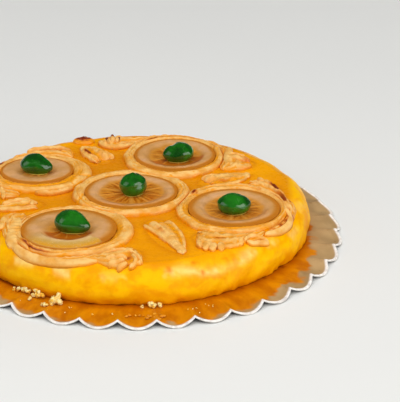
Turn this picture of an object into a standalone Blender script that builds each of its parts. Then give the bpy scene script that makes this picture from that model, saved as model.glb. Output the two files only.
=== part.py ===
# Glazed citrus and almond tart on its scalloped gold card.
# A flat round cake, 24 cm across, carries five piped almond rings. Each ring frames a candied citrus
# slice with a green candied cherry on it, and piped leaves and scrolls fill the room between and
# around the rings. Metres, +Z up. The origin is under the middle of the card, at the height that the
# card stands on, and +Y points to the back of the cake.

import math

import bmesh
import bpy
import numpy as np

MM = 0.001
COLLECTION_NAME = "glazed_citrus_almond_tart"
GAP = 0.3 * MM              # left between pieces that touch
HUG_GAP = 0.5 * MM          # between a scroll and the ring it follows
SHOULDER_GAP = 0.5 * MM     # added under what lies over the cake's rounded shoulder

# Gold card: flat in the middle, with a fluted rim whose lobes dip and whose notches stay level
CARD_LOBES = 35
CARD_NOTCH_R = 136.8 * MM
CARD_LOBE_DEPTH = 4.0 * MM      # how far a lobe reaches past its notches
CARD_DIP = 3.0 * MM             # how far the middle of a lobe sinks at the edge
CARD_FLAT_R = 123.0 * MM        # the flutes start here
CARD_THICK = 1.2 * MM
CARD_NOTCH_ANGLE = math.radians(-124.5)
CARD_STEPS_PER_LOBE = 4
CARD_TOP_Z = CARD_DIP + CARD_THICK

# Cake body: a flat top, a quarter-ellipse shoulder, a steep side and a slightly drawn-in foot
BODY_X, BODY_Y = -2.5 * MM, 3.9 * MM
BODY_FLAT_R = 105.0 * MM
SHOULDER_WIDTH = 15.4 * MM
SHOULDER_HEIGHT = 16.0 * MM
BODY_HEIGHT = 23.4 * MM
FOOT_IN = 1.9 * MM
BODY_WOBBLE = 0.45 * MM
BODY_STEPS = 72
BODY_BOTTOM_Z = CARD_TOP_Z + GAP
BODY_TOP_Z = BODY_BOTTOM_Z + BODY_HEIGHT
DECOR_Z = BODY_TOP_Z + GAP      # where everything on top stands

# Piped rings. The outer and the inner edge are ellipses: middle x, y and half widths in x, y (mm).
# join is the direction, in degrees, of the blob where the piping starts and ends.
RINGS = {
    "centre": {"outer": (-4.8, 3.6, 40.7, 36.8), "inner": (-4.8, 4.0, 31.9, 29.3), "join": 190},
    "right": {"outer": (63.8, -22.3, 37.7, 39.4), "inner": (65.6, -23.0, 30.9, 30.8), "join": 138},
    "back": {"outer": (23.3, 68.0, 36.0, 38.5), "inner": (24.4, 68.4, 29.2, 29.0), "join": 20},
    "left": {"outer": (-71.1, 37.2, 37.5, 32.0), "inner": (-73.0, 40.4, 25.6, 23.6), "join": -25},
    "front": {"outer": (-40.5, -57.8, 39.5, 37.6), "inner": (-43.4, -57.6, 31.0, 29.8), "join": -150},
}
# Where two rings meet, the share of the squeeze that the centre ring takes
CENTRE_SQUEEZE = {"right": 0.5, "back": 0.8, "left": 0.5, "front": 0.5}
ROPE_HEIGHT = 4.6 * MM
ROPE_RIDGES = 3
ROPE_GROOVE = 0.24              # depth of the nozzle's grooves, as a share of the height
ROPE_FULL_WIDTH = 8.0 * MM      # a rope squeezed narrower than this is lower too
ROPE_STEPS = 40
JOIN_HEIGHT = 1.3 * MM
JOIN_SPREAD = math.radians(9.0)

# Candied citrus slices fill their rings, with a raised ring of pith round the flesh
SLICE_FLESH_THICK = 2.0 * MM
SLICE_PITH_THICK = 2.7 * MM
SLICE_CLEARANCE = 0.5 * MM
SLICE_STEPS = 24

# Candied cherries: place (mm), half width, half depth and height (mm), direction of the long axis in
# degrees, how far the far end tapers, how deep the heart's crease is and how high the small peak is
CHERRIES = {
    "centre": ((-3.3, 0.4), (9.5, 9.4, 15.2), 0, 0.05, 0.0, 0.9),
    "right": ((65.4, -30.4), (11.5, 9.4, 12.6), 0, 0.06, 0.0, 0.0),
    "back": ((26.9, 59.2), (11.4, 9.2, 12.6), 12, -0.10, 0.16, 0.0),
    "left": ((-72.6, 37.4), (11.6, 9.4, 12.8), -14, 0.34, 0.0, 0.0),
    "front": ((-40.2, -60.0), (11.9, 9.8, 13.0), -16, 0.24, 0.0, 0.0),
}
CHERRY_SEAT = 0.5               # the flat under a cherry, as a share of its half height
CHERRY_SEGMENTS, CHERRY_ROWS = 14, 9

# Piped leaves: the middle of the broad end, the tip (mm), the half width and the height (mm)
LEAVES = {
    "front": ((13.0, -45.0), (31.8, -91.0), 9.8, 4.4),
    "right": ((42.0, 22.4), (78.0, 37.6), 8.4, 4.4),
    "left": ((-65.0, -12.6), (-101.0, -23.5), 8.4, 4.2),
    "back": ((-23.6, 62.0), (-44.8, 90.0), 9.6, 4.8),
}
LEAF_RIDGES = 4
LEAF_FINGER = 3.0 * MM          # how far the ridges stick out at the broad end
LEAF_ROWS = 9

# Piped scrolls round the rings: the ring, the height (mm), the lobes on the outer edge (their number
# and depth) and stations from the broad end to the tail. A station gives a direction from the ring's
# middle in degrees, and how far the inner and the outer edge stand off the ring there (mm).
SCROLLS = {
    "right_low": ("right", 5.6, (3, 0.24), (
        (-121, 1.5, 11), (-111, 0.5, 22), (-99, 0, 27), (-89, 0, 18), (-72, 0, 14.5), (-61, 0, 9))),
    "right_high": ("right", 5.0, (5, 0.10), (
        (73, 0.6, 6), (60, 0.3, 14), (46, 0, 9), (28, 0, 4.2), (4, 0, 6.2), (-24, 0, 4), (-57, 0, 7.4))),
    "front_right": ("front", 5.6, (6, 0.12), (
        (-33, 4, 15), (-46, 1, 27.5), (-58, 0, 21), (-68, 0, 10.5), (-90, 0, 7.6), (-120, 0, 4),
        (-146, 0, 4))),
    "front_left": ("front", 5.0, (4, 0.12), (
        (143, 0.6, 8), (155, 0.4, 15), (167, 0.2, 13), (181, 0, 6.4), (207, 0, 5))),
    "back_right": ("back", 5.6, (4, 0.14), (
        (-33, 1, 11), (-22, 0.5, 19), (-10, 0, 22.5), (6, 0, 15), (24, 0, 5.4), (56, 0, 3))),
    "back_left": ("back", 6.8, (6, 0.14), (
        (161, 9, 14), (153, 8, 25), (143, 4.5, 25.5), (134, 1.5, 17), (124, 0, 5), (78, 0, 3))),
    "left_high": ("left", 5.0, (4, 0.12), (
        (55, 1, 7), (65, 0.5, 12.5), (79, 0, 13.6), (96, 0, 9.4), (110, 0, 7), (129, 0, 4))),
    "left_low": ("left", 4.8, (4, 0.12), (
        (-107, 1, 8), (-117, 0.4, 12.5), (-131, 0, 10), (-148, 0, 5.4), (-167, 0, 4))),
}
# Hollows in the curls: direction from the ring's middle, distance off the ring and radius (mm)
HOLLOWS = {
    "right_low": (-73, 7.0, 4.0),
    "front_right": (-48, 17.5, 4.6),
    "back_right": (-6, 13.0, 4.6),
}
HOLLOW_DEPTH = 0.55             # as a share of the height
SCROLL_RIDGES = 4
SCROLL_ROWS = 17
SCROLL_BIAS = 1.3               # above 1 the rows stand closer at the broad end
SCROLL_START, SCROLL_END = 0.14, 0.10       # shares of the length over which the ends round off
PIPED_GROOVE = 0.30

# A small dab on the rim: place, half width, half depth and height (mm)
DAB_PLACE, DAB_SIZE = (-46.8, 102.6), (5.6, 3.6, 3.8)
DAB_STEPS = (10, 6)

PASTE = ((0.84, 0.50, 0.20), 0.45)
SLICE_COLOUR = ((0.72, 0.33, 0.10), 0.25)
CHERRY_COLOUR = ((0.01, 0.16, 0.02), 0.12)


def material(name, colour, roughness, metallic=0.0):
    """A plain Principled material."""
    made = bpy.data.materials.new(name)
    made.use_nodes = True
    shader = made.node_tree.nodes["Principled BSDF"]
    shader.inputs["Base Color"].default_value = (*colour, 1.0)
    shader.inputs["Roughness"].default_value = roughness
    shader.inputs["Metallic"].default_value = metallic
    made.diffuse_color = (*colour, 1.0)
    return made


def read_points(mesh):
    """All vertices of a mesh as an array with one row for each."""
    flat = np.empty(len(mesh.vertices) * 3, dtype=np.float32)
    mesh.vertices.foreach_get("co", flat)
    return flat.reshape(-1, 3).astype(float)


def write_points(mesh, x, y, z):
    """Put the vertices back, and turn every face outwards."""
    mesh.vertices.foreach_set("co", np.stack((x, y, z), axis=-1).astype(np.float32).ravel())
    work = bmesh.new()
    work.from_mesh(mesh)
    bmesh.ops.recalc_face_normals(work, faces=work.faces)
    work.to_mesh(mesh)
    work.free()
    mesh.update()


def add_piece(name, mesh, place, look, tart, holder):
    """One named piece with its own material, standing at its place under the tart's empty."""
    piece = bpy.data.objects.new(name, mesh)
    mesh.name = name
    mesh.materials.clear()
    mesh.materials.append(material(name, *look))
    mesh.shade_smooth()
    mesh.set_sharp_from_angle(angle=math.radians(50))
    piece.location = place
    piece.parent = holder
    tart.objects.link(piece)
    return piece


def turned_mesh(profile, steps, closed):
    """A profile at +X, turned about Z by a Screw modifier. A closed profile gives a ring."""
    count = len(profile)
    edges = [(i, (i + 1) % count) for i in range(count if closed else count - 1)]
    outline = bpy.data.meshes.new("profile")
    outline.from_pydata([(r, 0.0, z) for r, z in profile], edges, [])
    lathe = bpy.data.objects.new("profile", outline)
    bpy.context.scene.collection.objects.link(lathe)
    screw = lathe.modifiers.new("turn", "SCREW")
    screw.steps = screw.render_steps = steps
    screw.use_merge_vertices = True
    screw.merge_threshold = 0.00001
    evaluated = lathe.evaluated_get(bpy.context.evaluated_depsgraph_get())
    mesh = bpy.data.meshes.new_from_object(evaluated)
    bpy.data.objects.remove(lathe)
    bpy.data.meshes.remove(outline)
    return mesh


def sphere_mesh(segments, rows):
    """A unit ball and its vertices."""
    work = bmesh.new()
    bmesh.ops.create_uvsphere(work, u_segments=segments, v_segments=rows, radius=1.0)
    mesh = bpy.data.meshes.new("ball")
    work.to_mesh(mesh)
    work.free()
    return mesh, read_points(mesh)


def along_and_turn(ball):
    """For each vertex of a unit ball, how far it lies from the upper pole (0 to 1) and its turn."""
    along = np.arccos(np.clip(ball[:, 2], -1.0, 1.0)) / math.pi
    return along, np.arctan2(ball[:, 1], ball[:, 0])


def smooth_step(value):
    """0 below 0, 1 above 1 and an even S between."""
    t = np.clip(value, 0.0, 1.0)
    return t * t * (3.0 - 2.0 * t)


def ellipse_reach(angle, offset_x, offset_y, half_x, half_y):
    """How far a ray from the origin goes until it leaves an ellipse whose middle is off the origin."""
    c, s = np.cos(angle), np.sin(angle)
    a = (c / half_x) ** 2 + (s / half_y) ** 2
    b = c * offset_x / half_x**2 + s * offset_y / half_y**2
    rest = (offset_x / half_x) ** 2 + (offset_y / half_y) ** 2 - 1.0
    return (b + np.sqrt(b * b - a * rest)) / a


def body_wobble(angle):
    """The small unevenness of the cake's outline, as a length."""
    waves = np.sin(3 * angle + 0.6) + 0.7 * np.sin(5 * angle + 2.1) + 0.6 * np.sin(9 * angle)
    return BODY_WOBBLE * waves


def cake_top(x, y):
    """Height of the cake's surface, flat in the middle and falling off over the shoulder."""
    dx, dy = x - BODY_X, y - BODY_Y
    angle = np.arctan2(dy, dx)
    radius = np.hypot(dx, dy)
    past = (radius - body_wobble(angle) - BODY_FLAT_R) / SHOULDER_WIDTH
    past = np.clip(past, 0.0, 0.98)
    return BODY_TOP_Z - SHOULDER_HEIGHT * (1.0 - np.sqrt(1.0 - past * past))


def drape(x, y):
    """How far the underside of a piece on top sinks to follow the shoulder, clear of its facets."""
    drop = cake_top(x, y) - BODY_TOP_Z
    return drop + SHOULDER_GAP * np.minimum(-drop / MM, 1.0)


def gold_card():
    """A disc grown outwards row by row, its rim dipped into lobes, then given its thickness."""
    count = CARD_LOBES * CARD_STEPS_PER_LOBE
    rows = (CARD_FLAT_R, 0.6 * CARD_FLAT_R + 0.4 * CARD_NOTCH_R, None)
    work = bmesh.new()
    bmesh.ops.create_circle(work, cap_ends=True, segments=count, radius=CARD_FLAT_R - 8 * MM)
    for row_radius in rows:
        rim = [edge for edge in work.edges if edge.is_boundary]
        grown = bmesh.ops.extrude_edge_only(work, edges=rim)["geom"]
        for vert in (item for item in grown if isinstance(item, bmesh.types.BMVert)):
            angle = math.atan2(vert.co.y, vert.co.x)
            lobe = abs(math.sin(0.5 * CARD_LOBES * (angle - CARD_NOTCH_ANGLE)))
            radius = row_radius or CARD_NOTCH_R + CARD_LOBE_DEPTH * lobe
            out = (radius - CARD_FLAT_R) / (CARD_NOTCH_R - CARD_FLAT_R)
            dip = CARD_DIP * lobe * min(max(out, 0.0), 1.0) ** 1.4
            vert.co = (radius * math.cos(angle), radius * math.sin(angle), -dip)
    for vert in work.verts:
        vert.co.z += CARD_TOP_Z
    under = bmesh.ops.extrude_face_region(work, geom=list(work.faces))["geom"]
    for vert in (item for item in under if isinstance(item, bmesh.types.BMVert)):
        vert.co.z -= CARD_THICK
    bmesh.ops.recalc_face_normals(work, faces=work.faces)
    mesh = bpy.data.meshes.new("card")
    work.to_mesh(mesh)
    work.free()
    return mesh


def tart_base():
    """The solid cake: its turned profile, then the side moved in and out a little."""
    side_r = BODY_FLAT_R + SHOULDER_WIDTH
    profile = [(0.0, BODY_TOP_Z)]
    for step in range(6):
        turn = math.radians(90 * step / 5)
        radius = BODY_FLAT_R + SHOULDER_WIDTH * math.sin(turn)
        profile.append((radius, BODY_TOP_Z - SHOULDER_HEIGHT * (1.0 - math.cos(turn))))
    profile.append((side_r - 0.3 * FOOT_IN, BODY_BOTTOM_Z + 0.12 * BODY_HEIGHT))
    profile.append((side_r - FOOT_IN, BODY_BOTTOM_Z))
    profile.append((0.0, BODY_BOTTOM_Z))
    mesh = turned_mesh(profile, BODY_STEPS, closed=False)
    points = read_points(mesh)
    angle = np.arctan2(points[:, 1], points[:, 0])
    radius = np.hypot(points[:, 0], points[:, 1])
    radius = radius + body_wobble(angle) * (radius > 0.5 * BODY_FLAT_R)
    write_points(mesh, radius * np.cos(angle), radius * np.sin(angle), points[:, 2])
    return mesh


def ring_edges(name, angle):
    """Inner and outer radius of a ring about its own middle, squeezed flat against its neighbours."""
    out_x, out_y, out_a, out_b = (value * MM for value in RINGS[name]["outer"])
    in_x, in_y, in_a, in_b = (value * MM for value in RINGS[name]["inner"])
    inner = ellipse_reach(angle, in_x - out_x, in_y - out_y, in_a, in_b)
    outer = ellipse_reach(angle, 0.0, 0.0, out_a, out_b)
    for pair, centre_share in CENTRE_SQUEEZE.items():
        if name not in ("centre", pair):
            continue
        other = pair if name == "centre" else "centre"
        far_x, far_y, far_a, far_b = (value * MM for value in RINGS[other]["outer"])
        apart = math.hypot(far_x - out_x, far_y - out_y)
        towards = math.atan2(far_y - out_y, far_x - out_x)
        own_reach = ellipse_reach(towards, 0.0, 0.0, out_a, out_b)
        other_reach = ellipse_reach(towards + math.pi, 0.0, 0.0, far_a, far_b)
        share = centre_share if name == "centre" else 1.0 - centre_share
        wall = own_reach - share * (own_reach + other_reach - apart) - 0.5 * GAP
        facing = np.cos(angle - towards)
        limit = np.where(facing > 0.2, wall / np.maximum(facing, 0.2), np.inf)
        outer = np.minimum(outer, limit)
    return inner, outer


def rope_profile():
    """Section of a star-piped rope across a width of 1: ridges on an arch, grooves between them."""
    tops = 2 * ROPE_RIDGES + 1
    section = [(1.0, 0.0)]
    for k in range(tops):
        turn = math.radians(12 + 156 * k / (tops - 1))
        groove = 1.0 if k % 2 else 1.0 - ROPE_GROOVE
        section.append((0.5 + 0.5 * math.cos(turn), ROPE_HEIGHT * math.sin(turn) ** 0.7 * groove))
    section.append((0.0, 0.0))
    return section


def piped_ring(name):
    """A rope of paste laid in a ring, uneven, with a blob where it starts."""
    profile = [(1.0 + across, height) for across, height in rope_profile()]
    mesh = turned_mesh(profile, ROPE_STEPS, closed=True)
    points = read_points(mesh)
    angle = np.arctan2(points[:, 1], points[:, 0])
    across = np.hypot(points[:, 0], points[:, 1]) - 1.0
    inner, outer = ring_edges(name, angle)
    width = outer - inner
    squash = np.minimum(width / ROPE_FULL_WIDTH, 1.0) ** 0.5
    from_join = (angle - math.radians(RINGS[name]["join"]) + math.pi) % (2 * math.pi) - math.pi
    blob = JOIN_HEIGHT * np.exp(-((from_join / JOIN_SPREAD) ** 2))
    raised = points[:, 2] / ROPE_HEIGHT
    height = points[:, 2] * squash * (1.0 + 0.06 * np.sin(4 * angle + across)) + blob * raised
    radius = inner + across * width
    x, y = radius * np.cos(angle), radius * np.sin(angle)
    ring_x, ring_y = (value * MM for value in RINGS[name]["outer"][:2])
    write_points(mesh, x, y, height + drape(x + ring_x, y + ring_y))
    return mesh


def citrus_slice(name):
    """A turned disc, thick at the pith, stretched to the inside of its ring."""
    profile = [
        (0.0, SLICE_FLESH_THICK),
        (0.64, SLICE_FLESH_THICK),
        (0.84, SLICE_PITH_THICK),
        (1.0, 0.7 * SLICE_FLESH_THICK),
        (0.98, 0.0),
        (0.0, 0.0),
    ]
    mesh = turned_mesh(profile, SLICE_STEPS, closed=False)
    points = read_points(mesh)
    half_x, half_y = (value * MM - SLICE_CLEARANCE for value in RINGS[name]["inner"][2:])
    write_points(mesh, points[:, 0] * half_x, points[:, 1] * half_y, points[:, 2])
    return mesh


def candied_cherry(name):
    """A ball with a flat seat, drawn out at one end, with a crease or a small peak where it has one."""
    sizes, heading, taper, crease, peak = CHERRIES[name][1:]
    half_w, half_d, tall = (value * MM for value in sizes)
    mesh, ball = sphere_mesh(CHERRY_SEGMENTS, CHERRY_ROWS)
    x, y = ball[:, 0], ball[:, 1]
    z = np.maximum(ball[:, 2], -CHERRY_SEAT)
    narrow = 1.0 - taper * (x + 0.2)
    crease_dip = 1.0 - crease * np.exp(-((x + 0.12) / 0.28) ** 2) * (z > -CHERRY_SEAT)
    long_way = half_w * x
    cross_way = half_d * y * narrow
    height = tall * (z + CHERRY_SEAT) / (1.0 + CHERRY_SEAT)
    height = height * (1.0 - 0.5 * abs(taper) * np.clip(x * np.sign(taper), 0, 1)) * crease_dip
    height = height + peak * MM * (ball[:, 2] > 0.999)
    c, s = math.cos(math.radians(heading)), math.sin(math.radians(heading))
    write_points(mesh, c * long_way - s * cross_way, s * long_way + c * cross_way, height)
    return mesh


def ridged_height(turn, ridges):
    """Height over a piped piece's section, from 0 at its edges: an arch cut by grooves."""
    arch = np.maximum(np.sin(turn), 0.0) ** 0.7
    groove = 0.5 + 0.5 * np.cos(2 * ridges * turn)
    return arch * (1.0 - PIPED_GROOVE * groove)


def piped_leaf(name):
    """A fan of ridges that runs from a blunt broad end to a point. Returns the mesh and its place."""
    broad, tip, half_width, tall = LEAVES[name]
    mesh, ball = sphere_mesh(4 * LEAF_RIDGES, LEAF_ROWS)
    along, turn = along_and_turn(ball)
    start = 1.0 - np.clip(1.0 - along / 0.24, 0.0, 1.0) ** 2
    end = 1.0 - smooth_step((along - 0.3) / 0.7) ** 1.2 * 0.9
    close = np.sqrt(np.clip((1.0 - along) / 0.12, 0.0, 1.0))
    width = half_width * MM * np.sqrt(start) * end * close
    finger = LEAF_FINGER * (0.5 - 0.5 * np.cos(2 * LEAF_RIDGES * turn)) * np.clip(1 - along / 0.4, 0, 1)
    finger = finger * (np.sin(turn) > 0.01) * (along > 0.01)
    length = math.dist(broad, tip) * MM
    forward = length * along - finger
    sideways = width * np.cos(turn)
    height = tall * MM * ridged_height(turn, LEAF_RIDGES) * np.sqrt(start) * (0.35 + 0.65 * end) * close
    c, s = (tip[0] - broad[0]) * MM / length, (tip[1] - broad[1]) * MM / length
    x = c * forward - s * sideways
    y = s * forward + c * sideways
    place_x, place_y = broad[0] * MM, broad[1] * MM
    drop = drape(x + place_x, y + place_y)
    write_points(mesh, x, y, height + drop)
    return mesh, (place_x, place_y, DECOR_Z)


def piped_scroll(name):
    """A ridged curl that narrows to a tail along its ring. Returns the mesh and its place."""
    ring, tall, (lobes, lobe_depth), stations = SCROLLS[name]
    ring_x, ring_y = (value * MM for value in RINGS[ring]["outer"][:2])
    mesh, ball = sphere_mesh(4 * SCROLL_RIDGES, SCROLL_ROWS)
    along, turn = along_and_turn(ball)
    directions, inner_offs, outer_offs = np.array(stations, dtype=float).T
    first, last = directions[0], directions[-1]
    direction = first + (last - first) * along**SCROLL_BIAS
    passed = (direction - first) / (last - first)
    station_at = (directions - first) / (last - first)
    inner_off = np.interp(passed, station_at, inner_offs)
    outer_off = np.interp(passed, station_at, outer_offs)
    notch = np.abs(np.cos(math.pi * lobes * passed)) ** 3
    outer_off = outer_off * (1.0 - lobe_depth * notch * (np.cos(turn) > 0))
    start = np.sqrt(1.0 - np.clip(1.0 - along / SCROLL_START, 0.0, 1.0) ** 2)
    close = np.sqrt(1.0 - np.clip(1.0 - (1.0 - along) / SCROLL_END, 0.0, 1.0) ** 2)
    half = 0.5 * (outer_off - inner_off)
    angle = np.radians(direction)
    off = inner_off + half + half * np.cos(turn) * start * close
    reach = ring_edges(ring, angle)[1] + HUG_GAP + off * MM
    x, y = reach * np.cos(angle), reach * np.sin(angle)
    thick = tall * (2.0 * half / outer_offs.max()) ** 0.4 * start * close
    height = thick * MM * ridged_height(turn, SCROLL_RIDGES)
    if name in HOLLOWS:
        hollow_direction, hollow_off, hollow_radius = HOLLOWS[name]
        sideways = np.radians(direction - hollow_direction) * reach / MM
        from_hollow = np.hypot(sideways, off - hollow_off) / hollow_radius
        height = height * (1.0 - HOLLOW_DEPTH * np.exp(-from_hollow**2))
    drop = drape(x + ring_x, y + ring_y)
    write_points(mesh, x, y, height + drop)
    return mesh, (ring_x, ring_y, DECOR_Z)


def rim_dab():
    """A small browned dab of paste on the cake's shoulder."""
    half_w, half_d, tall = (value * MM for value in DAB_SIZE)
    mesh, ball = sphere_mesh(*DAB_STEPS)
    place_x, place_y = DAB_PLACE[0] * MM, DAB_PLACE[1] * MM
    x, y = half_w * ball[:, 0], half_d * ball[:, 1]
    drop = drape(x + place_x, y + place_y)
    height = tall * np.maximum(ball[:, 2], 0.0)
    write_points(mesh, x, y, height + drop)
    return mesh, (place_x, place_y, DECOR_Z)


def build_tart():
    """Clear the scene and make every piece."""
    for item in list(bpy.data.objects):
        bpy.data.objects.remove(item)
    tart = bpy.data.collections.new(COLLECTION_NAME)
    bpy.context.scene.collection.children.link(tart)
    holder = bpy.data.objects.new("tart_origin", None)
    tart.objects.link(holder)

    add_piece("cake_card", gold_card(), (0, 0, 0), ((0.45, 0.35, 0.23), 0.5, 0.4), tart, holder)
    base_look = ((0.98, 0.52, 0.02), 0.3)
    add_piece("tart_base", tart_base(), (BODY_X, BODY_Y, 0.0), base_look, tart, holder)
    for name, ring in RINGS.items():
        ring_x, ring_y = (value * MM for value in ring["outer"][:2])
        slice_x, slice_y = (value * MM for value in ring["inner"][:2])
        cherry_x, cherry_y = (value * MM for value in CHERRIES[name][0])
        cherry_z = DECOR_Z + SLICE_FLESH_THICK + GAP
        add_piece("ring_" + name, piped_ring(name), (ring_x, ring_y, DECOR_Z), PASTE, tart, holder)
        slice_place = (slice_x, slice_y, DECOR_Z)
        add_piece("slice_" + name, citrus_slice(name), slice_place, SLICE_COLOUR, tart, holder)
        cherry_place = (cherry_x, cherry_y, cherry_z)
        add_piece("cherry_" + name, candied_cherry(name), cherry_place, CHERRY_COLOUR, tart, holder)
    for name in LEAVES:
        mesh, place = piped_leaf(name)
        add_piece("leaf_" + name, mesh, place, PASTE, tart, holder)
    for name in SCROLLS:
        mesh, place = piped_scroll(name)
        add_piece("scroll_" + name, mesh, place, PASTE, tart, holder)
    mesh, place = rim_dab()
    add_piece("rim_dab", mesh, place, PASTE, tart, holder)


build_tart()
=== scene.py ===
# %% [markdown]
# # A glazed citrus and almond tart, dressed for its picture
# The tart is already built as plain solids: a scalloped gold card, a flat round cake, and piped almond
# rings, leaves and scrolls round candied citrus slices and green candied cherries. This lesson gives each
# of them the surface and the finish of the real thing. A solid could be cut finer and painted, but piped
# paste, pulp and glaze are easier to write as formulas. So every piece is a new surface, worked out with
# numpy on a grid of two parameters, and it stands in the place of its plain solid.

# %% Load the solids
import math

import bmesh
import bpy
import numpy as np
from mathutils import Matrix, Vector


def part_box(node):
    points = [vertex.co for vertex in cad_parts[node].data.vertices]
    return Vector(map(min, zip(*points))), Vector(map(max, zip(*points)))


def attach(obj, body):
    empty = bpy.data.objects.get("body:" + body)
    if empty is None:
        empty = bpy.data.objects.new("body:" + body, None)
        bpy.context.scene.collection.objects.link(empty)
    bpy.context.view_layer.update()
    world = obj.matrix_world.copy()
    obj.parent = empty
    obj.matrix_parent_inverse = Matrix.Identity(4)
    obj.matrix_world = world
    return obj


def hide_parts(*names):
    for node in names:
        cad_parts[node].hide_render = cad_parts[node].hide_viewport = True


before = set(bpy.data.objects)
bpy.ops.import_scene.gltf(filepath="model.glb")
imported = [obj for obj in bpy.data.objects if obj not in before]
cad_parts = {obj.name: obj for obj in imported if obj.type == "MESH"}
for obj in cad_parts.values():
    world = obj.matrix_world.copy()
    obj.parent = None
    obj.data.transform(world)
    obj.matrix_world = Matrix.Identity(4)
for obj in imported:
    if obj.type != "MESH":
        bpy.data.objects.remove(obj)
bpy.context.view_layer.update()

MM = 0.001

# %% [markdown]
# ## Where everything lies
# The cake stands on the card, and the piping stands on the cake. The cake's heights and the underside of
# the piping are read from the solids, so that they can't drift away from them; the top of the card is
# given. The plan of the piping is a short table of real sizes in millimetres: each ring has an outer and
# an inner ellipse, because it was piped by hand and squeezed against its neighbours.

# %% Heights and plan
CARD_TOP_Z = 4.2 * MM
BODY_BOTTOM_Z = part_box("tart_base")[0].z
BODY_TOP_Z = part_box("tart_base")[1].z
DECOR_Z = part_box("slice_centre")[0].z       # the underside of everything on top
BODY_X, BODY_Y = -2.5 * MM, 3.9 * MM
BODY_FLAT_R = 105.0 * MM                    # the rounded shoulder starts here
SHOULDER_WIDTH, SHOULDER_HEIGHT = 15.4 * MM, 16.0 * MM
SIDE_R = BODY_FLAT_R + SHOULDER_WIDTH
FOOT_IN = 1.9 * MM                          # the side draws in by this much towards its foot
FOOT_R = SIDE_R - FOOT_IN
BODY_WOBBLE = 0.45 * MM

# Each ring: outer and inner ellipse (middle x, y, half widths in x, y, mm) and the direction of its join
RINGS = {
    "centre": {"outer": (-4.8, 3.6, 40.7, 36.8), "inner": (-4.8, 4.0, 31.9, 29.3), "join": 190},
    "right": {"outer": (63.8, -22.3, 37.7, 39.4), "inner": (65.6, -23.0, 30.9, 30.8), "join": 138},
    "back": {"outer": (23.3, 68.0, 36.0, 38.5), "inner": (24.4, 69.2, 29.2, 29.8), "join": 20},
    "left": {"outer": (-71.1, 37.2, 37.5, 32.0), "inner": (-73.0, 40.4, 25.6, 23.6), "join": -25},
    "front": {"outer": (-40.5, -57.8, 39.5, 37.6), "inner": (-43.6, -56.6, 31.4, 31.0), "join": -150},
}
# Where two rings meet, the share of the squeeze that the centre ring takes
CENTRE_SQUEEZE = {"right": 0.5, "back": 0.8, "left": 0.5, "front": 0.5}
TOUCH = 0.3 * MM                            # the gap that the solids keep between rings


def metres(values):
    """Millimetres of a table as metres."""
    return [value * MM for value in values]


print("the cake's heights in mm:", np.round(np.array((BODY_BOTTOM_Z, BODY_TOP_Z)) / MM, 1))

# %% [markdown]
# ## From a formula to a piece
# Every piece below is a grid of points. One helper joins the grid into quads, lets a row or a column
# close on itself, merges the points of a pole and turns the faces outwards. It also stores masks: numbers
# between 0 and 1 at each point, such as how browned the paste is there, which the finishes read later.

# %% Build a piece from a grid of points
def grid_faces(rows, columns, wrap_rows, wrap_columns):
    """Corner numbers of every cell of a grid, counted row by row. A wrapped side joins its last line to
    its first."""
    i, j = np.meshgrid(
        np.arange(rows if wrap_rows else rows - 1),
        np.arange(columns if wrap_columns else columns - 1),
        indexing="ij",
    )
    i, j = i.ravel(), j.ravel()
    below, beside = (i + 1) % rows, (j + 1) % columns
    corners = (i * columns + j, below * columns + j, below * columns + beside, i * columns + beside)
    return np.stack(corners, axis=1)


def make_piece(name, points, faces, finish, replaced=(), masks=None):
    """A piece from points (n, 3) and faces, with its masks, its finish and its place in the model."""
    mesh = bpy.data.meshes.new(name)
    mesh.from_pydata(points.tolist(), [], faces.tolist())
    for mask, values in (masks or {}).items():
        layer = mesh.attributes.new(mask, "FLOAT", "POINT")
        layer.data.foreach_set("value", np.clip(values, 0.0, 1.0).astype(np.float32).ravel())
    work = bmesh.new()
    work.from_mesh(mesh)
    bmesh.ops.remove_doubles(work, verts=work.verts, dist=0.002 * MM)
    bmesh.ops.recalc_face_normals(work, faces=work.faces)
    work.to_mesh(mesh)
    work.free()
    mesh.shade_smooth()
    mesh.materials.append(finish)
    piece = bpy.data.objects.new(name, mesh)
    bpy.context.scene.collection.objects.link(piece)
    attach(piece, "root")
    if replaced:
        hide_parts(*replaced)
    return piece


def grid_piece(name, x, y, z, finish, replaced, masks, wrap_rows=False, wrap_columns=True):
    """A piece from three arrays of rows and columns."""
    x, y, z = np.broadcast_arrays(x, y, z)
    points = np.stack((x, y, z), axis=-1).reshape(-1, 3)
    faces = grid_faces(*x.shape, wrap_rows, wrap_columns)
    full = {mask: np.broadcast_to(values, x.shape) for mask, values in masks.items()}
    return make_piece(name, points, faces, finish, replaced, full)


def lay_each(names, surface, piece, node, first_seed, seed_step, finish, wrap_rows=False):
    """One piece for each name of a table, from its surface and its own seed, in place of its node."""
    for number, name in enumerate(names):
        x, y, z, masks = surface(name, first_seed + seed_step * number)
        grid_piece(piece + name, x, y, z, finish, [node + name], masks, wrap_rows)
        print(piece + name, "reaches", round(float(z.max()) / MM, 1), "mm over the floor")


# %% Uneven values and soft steps
def ripples(seed, size, *axes):
    """Smooth uneven values, mostly between -1 and 1: a sum of ten sine waves in drawn directions, whose
    lengths are 0.7 to 1.6 times size."""
    draw = np.random.default_rng(seed)
    total = 0.0
    for _ in range(10):
        heading = draw.normal(size=len(axes))
        heading *= 2 * math.pi / (size * draw.uniform(0.7, 1.6) * np.linalg.norm(heading))
        total = total + np.sin(sum(h * axis for h, axis in zip(heading, axes)) + draw.uniform(0, 6.3))
    return total / 3.2


def soft_step(value, low=0.0, high=1.0):
    """0 below low, 1 above high and an even S between."""
    t = np.clip((value - low) / (high - low), 0.0, 1.0)
    return t * t * (3.0 - 2.0 * t)


def bump_at(distance, size):
    """1 at distance 0, falling off as a bell that is about twice size wide."""
    return np.exp(-((distance / size) ** 2))


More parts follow.
